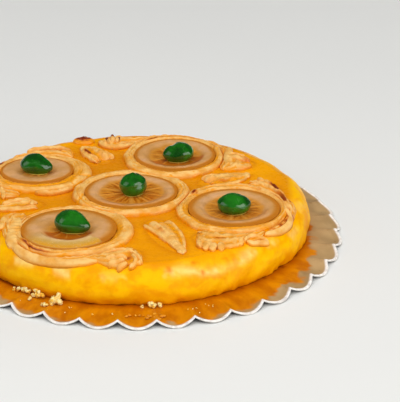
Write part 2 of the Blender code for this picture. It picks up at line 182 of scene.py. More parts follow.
def all_round(count, start=0.0):
    """Directions once round from start, as a row with a column for each."""
    return np.linspace(start, start + 2 * math.pi, count, endpoint=False)[None, :]


def spots(places, distance):
    """A bell at each place, added up. A place ends with its strength, and distance gives, from the rest
    of it, how far the points are from it, counted in sizes of the spot."""
    return sum(strength * bump_at(distance(*place), 1.0) for *place, strength in places)


print("ripples of 1 reach", round(float(np.abs(ripples(1, 1.0, np.linspace(0, 90, 999))).max()), 2))


# %% [markdown]
# ## Writing a finish
# A finish is a Principled material whose colour, gloss and fine relief change over the surface. Nodes are
# tedious to wire one by one, so two small classes do it. A Field wraps one socket, and arithmetic on it
# adds the Math nodes. A Finish holds the node tree and adds any other node from its type, its settings
# and its sockets. Numbers that are the same all over a piece are set on the shader itself.

# %% A field is a socket with arithmetic
def operators(operation):
    """The two methods of an operator: with the field on its left, and reflected."""
    def plain(field, other):
        return field.math(operation, field, other)

    def reflected(field, other):
        return field.math(operation, other, field)

    return plain, reflected


class Field:
    """A value that varies over a surface."""

    def __init__(self, finish, socket):
        self.finish = finish
        self.socket = socket

    def math(self, operation, first, second):
        return self.finish.node("Math", {"operation": operation}, {0: first, 1: second})

    __add__, __radd__ = operators("ADD")
    __sub__, __rsub__ = operators("SUBTRACT")
    __mul__, __rmul__ = operators("MULTIPLY")
    __pow__ = operators("POWER")[0]

    def step(self, low, high):
        """0 below low, 1 above high and an even S between."""
        sockets = {"Value": self, "From Min": low, "From Max": high}
        return self.finish.node("MapRange", {"interpolation_type": "SMOOTHSTEP"}, sockets)


# %% A finish is a material being written
def screen(red, green, blue):
    """A colour as it is seen on a screen (0 to 255), as the linear values that a shader takes."""
    part = np.array((red, green, blue)) / 255.0
    linear = np.where(part <= 0.04045, part / 12.92, ((part + 0.055) / 1.055) ** 2.4)
    return (*linear.tolist(), 1.0)


class Finish:
    """One material. node adds any node, and surface wires the Principled shader."""

    def __init__(self, name, **constants):
        self.material = bpy.data.materials.new(name)
        self.material.use_nodes = True
        self.tree = self.material.node_tree
        self.shader = self.tree.nodes["Principled BSDF"]
        for socket, value in constants.items():
            self.input(socket).default_value = value
        self.place = self.node("TexCoord", output="Object")

    def input(self, socket):
        """The shader's socket of a name such as base_color."""
        return self.shader.inputs[socket.replace("_", " ").title().replace("Ior", "IOR")]

    def node(self, kind, settings=None, sockets=None, output=0):
        """A node of a kind, with its settings first and then its sockets set or linked."""
        made = self.tree.nodes.new("ShaderNode" + kind)
        for setting, value in (settings or {}).items():
            setattr(made, setting, value)
        for key, value in (sockets or {}).items():
            if isinstance(value, Field):
                self.tree.links.new(value.socket, made.inputs[key])
            else:
                made.inputs[key].default_value = value
        return Field(self, made.outputs[output])

    def mask(self, name):
        """A mask that was stored on the piece's points."""
        return self.node("Attribute", {"attribute_name": name}, output="Fac")

    def masks(self, *names):
        """Several masks at once."""
        return [self.mask(name) for name in names]

    def noise(self, size, detail=3.0, stretch=(1, 1, 1), distortion=0.0):
        """Uneven values around 0.5, in clumps of about size metres, stretched along x, y and z."""
        at = self.node("Mapping", sockets={"Vector": self.place, "Scale": stretch})
        sockets = {"Vector": at, "Scale": 1.0 / size, "Detail": detail, "Distortion": distortion}
        return self.node("TexNoise", sockets=sockets)

    def mix(self, first, second, share):
        """The first colour where share is 0 and the second where it is 1. A colour is a field, or its
        red, green and blue as they are seen on a screen."""
        first, second = (c if isinstance(c, Field) else screen(*c) for c in (first, second))
        return self.node("Mix", {"data_type": "RGBA"}, {0: share, 6: first, 7: second}, output=2)

    def paint(self, colour, *coats):
        """A colour with others laid over it in turn, each by its share."""
        for over, share in coats:
            colour = self.mix(colour, over, share)
        return colour

    def bump(self, height, depth, below=None):
        """Fine relief: height from 0 to 1 stands for depth metres."""
        sockets = {"Height": height, "Distance": depth, "Strength": 1.0}
        if below is not None:
            sockets["Normal"] = below
        return self.node("Bump", sockets=sockets)

    def surface(self, **inputs):
        """Link what varies to the Principled shader, and return the finished material."""
        for socket, value in inputs.items():
            self.tree.links.new(value.socket, self.input(socket))
        return self.material


print("white seen as 240 is", round(screen(240, 240, 240)[0], 3), "to the shader")


# %% [markdown]
# ## The gold card
# Such a card is thick grey board with a gold paper face, pressed into flutes round the rim: each scallop
# sinks in its middle, and a sharp crest stays up between two scallops. Pressing it from a flat disc in a
# simulation would be slow. The flutes are the absolute value of a sine, which is round in the middle of a
# scallop and sharp at its ends, so one formula gives rim and relief. The glaze that ran off the cake lies
# on the card as a puddle, which is only a mask and a slight swelling.

# %% The puddle's reach
# Direction in degrees and distance of the puddle's edge from the middle of the card (mm)
PUDDLE_EDGE = ((-180, 125), (-135, 131), (-118, 136), (-100, 137), (-75, 137), (-62, 136), (-54, 134),
               (-45, 130), (-34, 131), (-23, 126), (-12, 121), (10, 118), (90, 119), (180, 125))


def puddle_cover(x, y):
    """1 inside the puddle's edge, 0 outside it, with an uneven soft border about 8 mm wide."""
    directions, reaches = np.array(PUDDLE_EDGE, dtype=float).T
    direction = np.degrees(np.arctan2(y, x))
    edge = np.interp(direction, directions, reaches) * MM
    edge = edge + 1.8 * MM * ripples(11, 16 * MM, x, y) + 1.0 * MM * ripples(12, 6 * MM, x, y)
    return soft_step(edge - np.hypot(x, y), -4.0 * MM, 4.0 * MM)


# %% The card's surface
CARD_LOBES, CARD_STEPS_PER_LOBE = 35, 18
CARD_NOTCH_R, CARD_LOBE_DEPTH, CARD_FLAT_R = 136.8 * MM, 4.0 * MM, 119.0 * MM
CARD_DIP, CARD_THICK = 3.0 * MM, 1.6 * MM
CARD_LOW = 0.16 * MM                        # how far the lowest lobes stay above the floor
CARD_NOTCH_ANGLE = math.radians(-124.5)
CARD_CREASE, CARD_WARP, CARD_LIP, PUDDLE_THICK = 0.5 * MM, 0.25 * MM, 0.45 * MM, 0.08 * MM
CARD_CUT_BULGE = (-0.27, 0.18, 0.30, 0.18, -0.27)   # how far the cut edge stands out, row by row (mm)
CARD_FLAT_ROWS, CARD_FLUTED_ROWS, CARD_FLUTED_FROM = 9, 30, 0.84
DEEP_REACH, PAINTED_SHADOW_REACH = 9 * MM, 2.2 * MM        # how far from the foot the puddle is deep, and how far its painted contact shadow reaches


def card_surface():
    """Rows run from the middle of the upper face to the rim and back under it to the middle, and
    columns run round. lobe = |sin(lobes / 2 * angle)|, and the rim's radius = notch radius + depth *
    lobe. The face sinks by dip * lobe * share^1.4, where share is 0 at the flat and 1 at the notches."""
    angle = CARD_NOTCH_ANGLE + all_round(CARD_LOBES * CARD_STEPS_PER_LOBE)
    lobe = np.abs(np.sin(0.5 * CARD_LOBES * (angle - CARD_NOTCH_ANGLE)))
    rim = CARD_NOTCH_R + CARD_LOBE_DEPTH * lobe
    flat = np.linspace(0, CARD_FLUTED_FROM, CARD_FLAT_ROWS)[:-1]
    out = np.concatenate((flat, np.linspace(CARD_FLUTED_FROM, 0.995, CARD_FLUTED_ROWS)))[:, None]
    radius = out * rim
    share = np.clip((radius - CARD_FLAT_R) / (CARD_NOTCH_R - CARD_FLAT_R), 0.0, 1.0)
    x, y = radius * np.cos(angle), radius * np.sin(angle)
    puddle = puddle_cover(x, y)
    crease = bump_at(lobe, 0.16) * share
    warp = CARD_WARP * ripples(13, 40 * MM, x, y) * soft_step(radius, 110 * MM, 140 * MM)
    lip = CARD_LIP * soft_step(out, 0.984, 0.994)
    top = CARD_TOP_Z - CARD_DIP * lobe * share ** 1.4 + PUDDLE_THICK * puddle + CARD_CREASE * crease
    top = top + warp + lip
    cut_r = rim + np.array(CARD_CUT_BULGE)[:, None] * MM
    cut_z = np.maximum(top[-1:] - np.linspace(0.08, 0.92, 5)[:, None] * CARD_THICK, CARD_LOW)
    under_r = radius[::-1][::3]
    under_z = np.maximum(top[::-1][::3] - CARD_THICK, CARD_LOW)
    radius = np.concatenate((radius, cut_r, under_r))
    x, y, z = radius * np.cos(angle), radius * np.sin(angle), np.concatenate((top, cut_z, under_z))
    from_foot = np.hypot(x - BODY_X, y - BODY_Y) - FOOT_R

    def by_side(upper, cut, under):
        """A mask from its values on the upper face, on the cut edge and below."""
        return np.concatenate((upper + 0 * top, cut + 0 * cut_z, under + 0 * under_z))

    masks = {
        "puddle": by_side(puddle, 0, 0),
        "cut_edge": by_side(soft_step(out, 0.983, 0.989), 1, 1),
        "crest": by_side(bump_at(lobe, 0.3) * share, 0, 0),
        # painted shade: the underside is marked, to be drawn dark as shade under the card
        "under": by_side(0, 0, 1),
        "deep": soft_step(from_foot, DEEP_REACH, 0),
        # painted shadow: a narrow band at the cake's foot, where the puddle is darkened as contact shadow
        "painted_contact_shadow": soft_step(from_foot, PAINTED_SHADOW_REACH, 0.4 * MM),
    }
    return x, y, z, masks


# %% [markdown]
# The gold face is matt paper: it keeps a little sheen, with fine grain, soft darker drifts and a few
# brown specks of scorched sugar, and painted shade darkens it along the crests between the scallops. The
# puddle turns it amber and wet, darker at the foot of the cake, where it is deeper, with a line of
# painted shadow right at the foot, and streaked outwards, the way it ran. The cut edge of the board is
# pale grey, and its underside is painted dark as shade under the card.

# %% Finish of the card
def card_finish():
    """Gold paper, amber where the puddle lies, pale board where it is cut."""
    card = Finish("gold_paper_on_board", coat_roughness=0.15, specular_ior_level=0.12)
    puddle, cut_edge, crest, under, deep, painted_contact_shadow = card.masks(
        "puddle", "cut_edge", "crest", "under", "deep", "painted_contact_shadow")
    along_x, along_y = (card.node("SeparateXYZ", sockets={0: card.place}, output=i) for i in (0, 1))
    angle = along_y.math("ARCTAN2", along_y, along_x)
    reach = (along_x * along_x + along_y * along_y) ** 0.5
    polar = card.node("CombineXYZ", sockets={0: angle * 14.0, 1: reach * 60.0})
    streak = card.node("TexNoise", sockets={"Vector": polar, "Scale": 1.0, "Detail": 4.0})
    drift = card.noise(0.02, 3.0)
    fine = card.noise(0.0022, 2.0)
    gold = card.paint(
        card.mix((188, 155, 108), (158, 128, 86), drift.step(0.3, 0.75)),
        # painted shade: the gold is darker along the crests between the scallops
        ((140, 108, 66), crest * fine.step(0.3, 0.7) * 0.6),
        ((130, 84, 40), fine.step(0.70, 0.76) * 0.6),
    )
    amber = card.paint(
        card.mix((214, 130, 2), (188, 102, 0), streak.step(0.36, 0.66)),
        ((174, 88, 0), deep * 0.75),
        # painted shadow: a dark red-brown line in the puddle right at the cake's foot
        ((120, 40, 2), painted_contact_shadow * 0.8),
        ((224, 148, 12), (1 - deep) * crest * 0.6),
    )
    soaked = (puddle * 1.25 + (drift - 0.5) * 0.5 * (1 - deep)).step(0.05, 0.95)
    board = card.mix((244, 240, 234), (216, 208, 200), card.noise(0.003).step(0.35, 0.75))
    # the underside is painted dark grey, as shade under the card
    colour = card.paint(gold, (amber, soaked), (board, cut_edge), ((96, 90, 84), under))
    rough = 0.5 - puddle * 0.2 + cut_edge * 0.2
    relief = card.bump(fine, 0.00010)
    return card.surface(base_color=colour, roughness=rough, coat_weight=puddle * 0.15, normal=relief)


# %% Lay the card
x, y, z, masks = card_surface()
grid_piece("gold_card", x, y, z, card_finish(), ["cake_card"], masks)
print("card rim", round(float(np.hypot(x, y).max()) / MM, 1), "mm from the middle")


# %% [markdown]
# ## The piping's outlines
# Before the cake come the outlines of what lies on it. Glaze gathers where the paste stands, so the cake's
# own surface has to know how far away the nearest piping is. A ring's edge is where a ray from its middle
# leaves an ellipse. Leaves are a line from broad end to tip, and scrolls follow their ring at a distance
# that changes from station to station.

# %% Edges of the rings
def ellipse_reach(angle, offset_x, offset_y, half_x, half_y):
    """How far a ray from the origin goes until it leaves an ellipse whose middle is off the origin."""
    c, s = np.cos(angle), np.sin(angle)
    a = (c / half_x) ** 2 + (s / half_y) ** 2
    b = c * offset_x / half_x**2 + s * offset_y / half_y**2
    rest = (offset_x / half_x) ** 2 + (offset_y / half_y) ** 2 - 1.0
    return (b + np.sqrt(b * b - a * rest)) / a


def ring_edges(name, angle):
    """Inner and outer radius of a ring about its own middle, squeezed flat against its neighbours."""
    out_x, out_y, out_a, out_b = metres(RINGS[name]["outer"])
    in_x, in_y, in_a, in_b = metres(RINGS[name]["inner"])
    inner = ellipse_reach(angle, in_x - out_x, in_y - out_y, in_a, in_b)
    outer = ellipse_reach(angle, 0.0, 0.0, out_a, out_b)
    for pair, centre_share in CENTRE_SQUEEZE.items():
        if name not in ("centre", pair):
            continue
        far_x, far_y, far_a, far_b = metres(RINGS[pair if name == "centre" else "centre"]["outer"])
        apart = math.hypot(far_x - out_x, far_y - out_y)
        towards = math.atan2(far_y - out_y, far_x - out_x)
        own_reach = ellipse_reach(towards, 0.0, 0.0, out_a, out_b)
        other_reach = ellipse_reach(towards + math.pi, 0.0, 0.0, far_a, far_b)
        share = centre_share if name == "centre" else 1.0 - centre_share
        wall = own_reach - share * (own_reach + other_reach - apart) - 0.5 * TOUCH
        facing = np.cos(angle - towards)
        limit = np.where(facing > 0.2, wall / np.maximum(facing, 0.2), np.inf)
        outer = np.minimum(outer, limit)
    return inner, outer


def about(ring, x, y):
    """Direction and distance of points from the middle of a ring."""
    dx, dy = x - RINGS[ring]["outer"][0] * MM, y - RINGS[ring]["outer"][1] * MM
    return np.arctan2(dy, dx), np.hypot(dx, dy)


def degrees_from(angle, direction):
    """Signed angle from a direction in degrees, between -180 and 180."""
    return (np.degrees(angle) - direction + 180) % 360 - 180


# %% Plan of the leaves and scrolls
# Leaves: the middle of the broad end, the tip (mm), the half width and the height (mm)
LEAVES = {
    "front": ((13.0, -45.0), (31.8, -91.0), 9.8, 4.4),
    "right": ((49.0, 23.0), (77.8, 36.4), 10.8, 4.6),
    "left": ((-70.0, -13.9), (-101.0, -23.5), 8.0, 3.8),
    "back": ((-27.2, 64.6), (-43.4, 86.4), 9.2, 4.8),
}
# Scrolls: the ring, the height (mm), the lobes on the outer edge (number, depth) and stations from the
# broad end to the tail: direction in degrees, and how far the two edges stand off the ring (mm)
SCROLLS = {
    "right_low": ("right", 5.6, (3, 0.24), (
        (-121, 1.0, 11), (-111, -1.0, 22), (-99, -2, 25.5), (-89, 0, 17.5), (-74, 0, 11.5), (-66, 0, 7),
        (-57, 0, 2.5))),
    "right_high": ("right", 5.0, (5, 0.10), (
        (73, 0.6, 6), (60, 0.3, 14), (46, 0, 9), (28, 0, 4.2), (4, 0, 6.2), (-24, 0, 4), (-57, 0, 7.4))),
    "front_right": ("front", 5.6, (6, 0.12), (
        (-33, 4, 15), (-46, 1, 27.5), (-58, 0, 21), (-68, 0, 10.5), (-90, 0, 7.6), (-120, 0, 4),
        (-146, 0, 4))),
    "front_left": ("front", 5.0, (4, 0.12), (
        (143, 0.6, 8), (155, 0.4, 15), (167, 0.2, 13), (181, 0, 6.4), (207, 0, 5))),
    "back_right": ("back", 5.6, (4, 0.14), (
        (-33, 1, 11), (-22, 0.5, 19), (-10, 0, 22.5), (-2, 0, 18), (5, 0, 9), (24, 0, 5), (56, 0, 3))),
    "back_left": ("back", 6.8, (6, 0.14), (
        (161, 9, 14), (153, 8, 25), (143, 4.5, 22), (134, 1.0, 11), (124, 0, 5), (78, 0, 3))),
    "left_high": ("left", 5.0, (4, 0.12), (
        (55, 1, 7), (65, 0.5, 12.5), (79, 0, 13.6), (96, 0, 9.4), (110, 0, 7), (129, 0, 4))),
    "left_low": ("left", 4.8, (4, 0.12), (
        (-107, 1, 8), (-117, 0.4, 12.5), (-131, 0, 10), (-148, 0, 5.4), (-167, 0, 4))),
}
HUG_GAP = 0.5 * MM                          # between a scroll and the ring it follows


def nearest_piping(x, y):
    """Distance from points on the cake to the nearest edge of a ring, leaf or scroll, 0 inside it.
    A ring counts as solid, because its inside is covered by a slice."""
    nearest = np.full(x.shape, 1.0)
    for name in RINGS:
        angle, radius = about(name, x, y)
        nearest = np.minimum(nearest, np.maximum(radius - ring_edges(name, angle)[1], 0.0))
    for broad, tip, half_width, _ in LEAVES.values():
        start, end = np.array(broad) * MM, np.array(tip) * MM
        length = np.linalg.norm(end - start)
        ahead = (end - start) / length
        dx, dy = x - start[0], y - start[1]
        along = np.clip((dx * ahead[0] + dy * ahead[1]) / length, 0.0, 1.0)
        aside = np.hypot(dx - along * length * ahead[0], dy - along * length * ahead[1])
        half = half_width * MM * np.sin(math.pi * (0.22 + 0.78 * along)) ** 0.8
        nearest = np.minimum(nearest, np.maximum(aside - half, 0.0))
    for ring, _, _, stations in SCROLLS.values():
        angle, radius = about(ring, x, y)
        directions, _, outer_off = np.array(stations, dtype=float).T
        first, last = directions[0], directions[-1]
        middle = 0.5 * (first + last)
        passed = (degrees_from(angle, middle) + middle - first) / (last - first)
        outer = np.interp(passed, (directions - first) / (last - first), outer_off) * MM
        sideways = np.maximum(np.maximum(-passed, passed - 1.0), 0.0) * math.radians(abs(last - first))
        beyond = np.maximum(radius - ring_edges(ring, angle)[1] - outer, 0.0)
        nearest = np.minimum(nearest, np.hypot(beyond, sideways * radius))
    return nearest


print(len(LEAVES), "leaves and", len(SCROLLS), "scrolls")

# %% [markdown]
# ## The cake
# The cake is a moist yellow sponge, turned out of a round tin, with a quarter-round shoulder and a side
# that is lumpy to the touch. It is a turned profile: rows run down the profile and columns run round.
# Amber glaze was poured over the top, and it reaches a little way down the shoulder. It lies higher
# against the piping, because a liquid climbs what it wets.

# %% Measures of the cake
CAKE_COLUMNS = 600
FLAT_ROWS, SHOULDER_ROWS, SIDE_ROWS = 96, 26, 16
# Lumps that push the side in and out, and waves of the glaze on top: seed, size (mm) and depth (mm)
SIDE_LUMPS = ((21, 17, 0.55), (22, 6, 0.09), (23, 2.6, 0.03))
TOP_WAVES = ((24, 18, 0.10), (25, 7, 0.05))
FOOT_LUMPS, GLAZE_CLIMB, GLAZE_LIP = 0.55, 0.3, 0.3     # how far they stand out (mm)


def layers(table, *axes):
    """Ripples of several sizes, added up."""
    return sum(depth * ripples(seed, size * MM, *axes) for seed, size, depth in table)


def body_wobble(angle):
    """The small unevenness of the cake's outline, as a length."""
    waves = np.sin(3 * angle + 0.6) + 0.7 * np.sin(5 * angle + 2.1) + 0.6 * np.sin(9 * angle)
    return BODY_WOBBLE * waves


def cake_top(x, y):
    """Height of the cake's surface, flat in the middle and falling off over the shoulder."""
    dx, dy = x - BODY_X, y - BODY_Y
    past = (np.hypot(dx, dy) - body_wobble(np.arctan2(dy, dx)) - BODY_FLAT_R) / SHOULDER_WIDTH
    past = np.clip(past, 0.0, 0.98)
    return BODY_TOP_Z - SHOULDER_HEIGHT * (1.0 - np.sqrt(1.0 - past * past))


# %% Where the cake's finish changes
# Places where the oven caught the shoulder: x, y, half size (mm) and strength
STAINS = (
    (23.0, -106.6, 2.2, 0.9), (38.2, -99.4, 1.6, 0.7), (44.5, -104.0, 1.2, 0.8), (59.0, -90.5, 3.0, 0.5),
    (64.5, -87.6, 3.2, 0.6), (71.0, -84.0, 2.6, 0.5), (-5.2, -96.5, 1.8, 0.3), (14.0, -106.0, 2.6, 0.35),
)
# Where the painted highlight band on the shoulder is weaker or stronger: direction and spread in degrees,
# change
PAINTED_SHEEN_BAND = ((-93, 13, -0.7), (-64, 12, 0.5))


def cake_masks(angle, radius, height, x, y, near, on_top):
    """The glaze ends on the shoulder at an uneven edge and pools near the piping. A pale band of painted
    highlight runs round the shoulder at a height that drifts, weaker towards the right, and the foot and
    the stains are darker."""
    edge = BODY_FLAT_R + (3.0 + 2.0 * ripples(26, 22 * MM, x, y)) * MM
    glaze = soft_step(radius, edge + 5 * MM, edge - 2 * MM) * (height > BODY_TOP_Z - 6 * MM)
    band = BODY_TOP_Z - (5.0 + 2.2 * ripples(29, 60 * MM, SIDE_R * angle)) * MM
    streaks = ripples(30, 34 * MM, SIDE_R * angle) + 0.4 * ripples(31, 6 * MM, x, y, height)
    # painted highlight: a pale sheen band on the shoulder, weaker towards the right
    shoulder = soft_step(streaks, -0.5, 0.9) * (1 - 0.6 * soft_step(np.cos(angle), 0.7, 0.95))
    for direction, spread, change in PAINTED_SHEEN_BAND:
        shoulder = shoulder + change * bump_at(degrees_from(angle, direction), spread)
    uneven = 0.25 * ripples(32, 3 * MM, x, y, height)

    def from_stain(at_x, at_y, half):
        """Uneven distance from a stain, counted in its half sizes."""
        return np.hypot(x - at_x * MM, y - at_y * MM) / (half * MM) + uneven

    return {
        "glaze": glaze,
        "foot": soft_step(height, BODY_BOTTOM_Z + 9 * MM, BODY_BOTTOM_Z) * (1 - glaze),
        "pool": bump_at(near, 3.6 * MM) * (near > 0) * on_top,
        "deep": soft_step(np.hypot(x + 14 * MM, y - 18 * MM), 92 * MM, 30 * MM),
        "shoulder": np.clip(shoulder, 0, 1) * bump_at(height - band, 2.2 * MM) * (1 - glaze),
        "stain": spots(STAINS, from_stain) * (height > BODY_BOTTOM_Z + 1 * MM),
    }


# %% The cake's profile and surface
def cake_profile():
    """Radius and height from the middle of the top to the middle of the underside, as two columns: a
    flat, a quarter ellipse, a slightly drawn-in side and the underside."""
    flat = np.linspace(0, 1, FLAT_ROWS)[:-1] * BODY_FLAT_R
    turn = np.linspace(0, 0.5 * math.pi, SHOULDER_ROWS)
    down = np.linspace(0, 1, SIDE_ROWS)[1:]
    under = np.array((0.985, 0.9, 0.5, 0.0))
    side_top = BODY_TOP_Z - SHOULDER_HEIGHT
    radius = (flat, BODY_FLAT_R + SHOULDER_WIDTH * np.sin(turn), SIDE_R - FOOT_IN * down**2.2,
              under * FOOT_R)
    height = (0 * flat + BODY_TOP_Z, BODY_TOP_Z - SHOULDER_HEIGHT * (1 - np.cos(turn)),
              side_top + (BODY_BOTTOM_Z - side_top) * down, 0 * under + BODY_BOTTOM_Z)
    return np.concatenate(radius)[:, None], np.concatenate(height)[:, None]


def cake_surface():
    """The profile goes round. Lumps push the side in and out, and the glaze's small waves lift the
    top, which climbs at the piping and ends in a low lip."""
    angle = all_round(CAKE_COLUMNS)
    radius, height = cake_profile()
    on_top = soft_step(radius, BODY_FLAT_R + 6 * MM, BODY_FLAT_R - 2 * MM)
    on_top = on_top * (height > BODY_TOP_Z - 4 * MM)
    under_side = (height <= BODY_BOTTOM_Z) * (radius < FOOT_R - 0.5 * MM)
    reach = radius + body_wobble(angle) * soft_step(radius, 0.5 * BODY_FLAT_R, BODY_FLAT_R)
    x, y = BODY_X + reach * np.cos(angle), BODY_Y + reach * np.sin(angle)
    at_foot = soft_step(height, BODY_BOTTOM_Z + 5 * MM, BODY_BOTTOM_Z)
    lumps = layers(SIDE_LUMPS, x, y, height) + FOOT_LUMPS * ripples(28, 7 * MM, x, y) * at_foot
    lumps = lumps * MM * (1 - on_top) * (1 - under_side)
    x, y = x + lumps * np.cos(angle), y + lumps * np.sin(angle)
    near = nearest_piping(x, y)
    climb = GLAZE_CLIMB * bump_at(near, 1.2 * MM) * (near > 0) * on_top
    lip = GLAZE_LIP * bump_at(radius - BODY_FLAT_R - 1 * MM, 2.2 * MM) * (height > BODY_TOP_Z - 4 * MM)
    z = height + (layers(TOP_WAVES, x, y) * on_top + climb + lip) * MM
    return x, y, z, cake_masks(angle, radius, height, x, y, near, on_top)


# %% [markdown]
# The side keeps the yellow of the sponge, in paler and deeper clouds, with a pale band of painted
# highlight round the shoulder, and more orange towards the foot. Under the glaze the top is amber,
# deepest in the middle, and orange in the pools beside the piping. Real glaze is a clear coat over the
# colour, as the shader's coat is.

# %% Finish of the cake
def cake_finish():
    """Yellow sponge under amber glaze."""
    cake = Finish("yellow_cake_under_glaze", coat_roughness=0.16, specular_ior_level=0.05)
    glaze, foot, pool, deep, shoulder, stain = cake.masks(
        "glaze", "foot", "pool", "deep", "shoulder", "stain")
    clouds = cake.noise(0.016, 4.0, stretch=(1, 1, 1.6), distortion=0.6)
    fine = cake.noise(0.0035, 3.0)
    uneven = 0.3 + fine * 0.7
    sponge = cake.paint(
        cake.mix((244, 160, 0), (255, 190, 0), (clouds * 0.75 + fine * 0.25).step(0.36, 0.62)),
        # painted highlight: the pale sheen band over the shoulder
        ((255, 224, 134), shoulder * uneven),
        ((238, 148, 0), foot * uneven),
    )
    amber = cake.paint(
        cake.mix((252, 168, 0), (240, 154, 0), cake.noise(0.03).step(0.35, 0.65)),
        ((224, 138, 2), deep),
        ((214, 122, 0), pool * 0.55),
    )
    colour = cake.paint(sponge, (amber, glaze), ((224, 96, 0), stain * 0.75))
    rough = 0.42 - glaze * 0.14 + (fine - 0.5) * 0.16
    relief = cake.bump(fine, 0.00016)
    relief = cake.bump(glaze * cake.noise(0.009, 2.0), 0.0002, relief)
    coat = 0.02 + glaze * 0.4 + shoulder * 0.3
    return cake.surface(base_color=colour, roughness=rough, coat_weight=coat, normal=relief)


# %% Set the cake on the card
x, y, z, masks = cake_surface()
grid_piece("glazed_cake", x, y, z, cake_finish(), ["tart_base"], masks)
print("cake surface", x.shape[0], "rows of", x.shape[1])


# %% [markdown]
# ## Piped almond paste
# The paste is ground almond and egg white, piped through a star nozzle and browned in the oven. A star
# nozzle leaves ridges along the rope. Sweeping a star profile along a curve would repeat the same ridges
# all the way. Here the profile is a formula across the rope that may drift, swell and crease as it goes
# round, like a hand-piped rope. Crests catch the heat, so the browning mask follows height and a few
# listed places.

# %% Follow the cake
SINK = 0.7 * MM                             # pieces reach this far into the glaze, so no gap shows


def laid(x, y, height):
    """Height over the floor of what stands by height on the cake: it sinks where the cake's shoulder
    falls off."""
    return DECOR_Z + height + (cake_top(x, y) - BODY_TOP_Z)


# %% Finish of the paste
def paste_finish():
    """Pale tan paste, orange in its grooves, where glaze gathers and where shade is painted, brown where
    the oven caught it.
    """
    paste = Finish("browned_almond_paste", coat_roughness=0.2, specular_ior_level=0.3)
    groove, toast, wet = paste.masks("groove", "toast", "wet")
    drift = paste.noise(0.008, 3.0)
    fine = paste.noise(0.0016, 3.0)
    cream = paste.paint(
        paste.mix((236, 166, 68), (250, 204, 124), drift.step(0.32, 0.68)),
        # orange in the grooves: partly glaze that gathered there, partly painted shade
        ((234, 152, 36), (groove * 0.9 + (fine - 0.5) * 0.3).step(0.1, 0.9)),
        ((242, 156, 10), (wet * 1.15 + (drift - 0.5) * 1.0 + 0.1).step(0.08, 0.95)),
    )
    brown = paste.mix((216, 118, 22), (132, 46, 6), toast.step(0.6, 1.0))
    colour = paste.mix(cream, brown, (toast + (fine - 0.5) * 0.35).step(0.18, 0.7))
    rough = 0.46 - wet * 0.2 + (fine - 0.5) * 0.2
    relief = paste.bump(fine, 0.00018)
    relief = paste.bump(paste.noise(0.004, 3.0), 0.00045, relief)
    coat = 0.22 + wet * 0.4
    return paste.surface(base_color=colour, roughness=rough, coat_weight=coat, normal=relief)


PASTE = paste_finish()

# %% A rope of paste in a ring
ROPE_HEIGHT, ROPE_FULL_WIDTH = 3.7 * MM, 8.0 * MM
ROPE_RIDGES, ROPE_GROOVE = 2, 0.07
ROPE_STEPS, ROPE_ACROSS = 320, 44
JOIN_HEIGHT, JOIN_CREASE, JOIN_SPREAD = 1.1 * MM, 0.9 * MM, math.radians(9.0)
# Grooves where two strands lie side by side: direction in degrees, spread in degrees, place across
# (0 inner edge, 1 outer), depth and how browned the groove is
STRANDS = {
    "centre": ((185, 40, 0.60, 0.14, 0.0), (-20, 45, 0.35, 0.10, 0.0)),
    "right": ((60, 70, 0.50, 0.34, 0.3), (-90, 60, 0.72, 0.15, 0.0), (-30, 30, 0.86, 0.3, 0.5)),
    "back": ((95, 70, 0.55, 0.22, 0.2), (-60, 40, 0.30, 0.15, 0.0)),
    "left": ((-95, 60, 0.42, 0.36, 0.15), (100, 50, 0.60, 0.30, 0.1)),
    "front": ((-130, 28, 0.66, 0.40, 0.6), (150, 50, 0.50, 0.30, 0.3), (-60, 40, 0.62, 0.16, 0.0)),
}
# Stretches whose inner strand lies under syrup: direction and spread in degrees, width across
SYRUPED = {
    "centre": (-70, 70, 0.50),
    "right": (-100, 90, 0.64),
    "back": (-60, 70, 0.62),
    "left": (-75, 75, 0.80),
    "front": (-40, 60, 0.50),
}
# Browned places on the ropes: direction in degrees, place across (0 inner edge, 1 outer), spread in
# degrees and strength
TOASTED = {
    "centre": ((60, 0.7, 30, 0.35), (200, 0.6, 14, 0.3)),
    "right": ((139, 0.45, 5, 1.0), (150, 0.3, 6, 0.5), (48, 0.6, 10, 0.6), (20, 0.5, 14, 0.45)),
    "back": ((90, 0.5, 62, 0.62), (62, 0.5, 10, 0.7), (120, 0.4, 10, 0.4)),
    "left": ((120, 0.5, 22, 0.7), (154, 0.5, 8, 2.0), (86, 0.7, 12, 0.4)),
    "front": ((-147, 0.57, 6, 0.6), (-139, 0.62, 6, 0.8), (-131, 0.70, 6, 0.8), (-123, 0.82, 6, 0.8),
              (-114, 0.95, 6, 0.7), (120, 0.5, 12, 0.3)),
}
STRAND_GROOVE, STRAND_BROWN = 0.11, 0.12    # half their breadth, as a share of the rope's width
ROPE_ROUGH, ROPE_LINES = 0.10, 0.16         # the relief of its skin and of the drawn lines (mm)


def strands(name, seed, angle, across):
    """Depth of the grooves between strands, and how browned they are: a bell across the rope, whose
    line wavers, times a bell along it."""
    between, burnt = 0.0, 0.0
    for direction, spread, place, depth, browned in STRANDS[name]:
        near = bump_at(degrees_from(angle, direction), spread)
        line = place + 0.05 * np.sin(5 * angle + seed)
        between = between + depth * near * bump_at(across - line, STRAND_GROOVE)
        burnt = burnt + browned * near * bump_at(across - line, STRAND_BROWN)
    return between, burnt


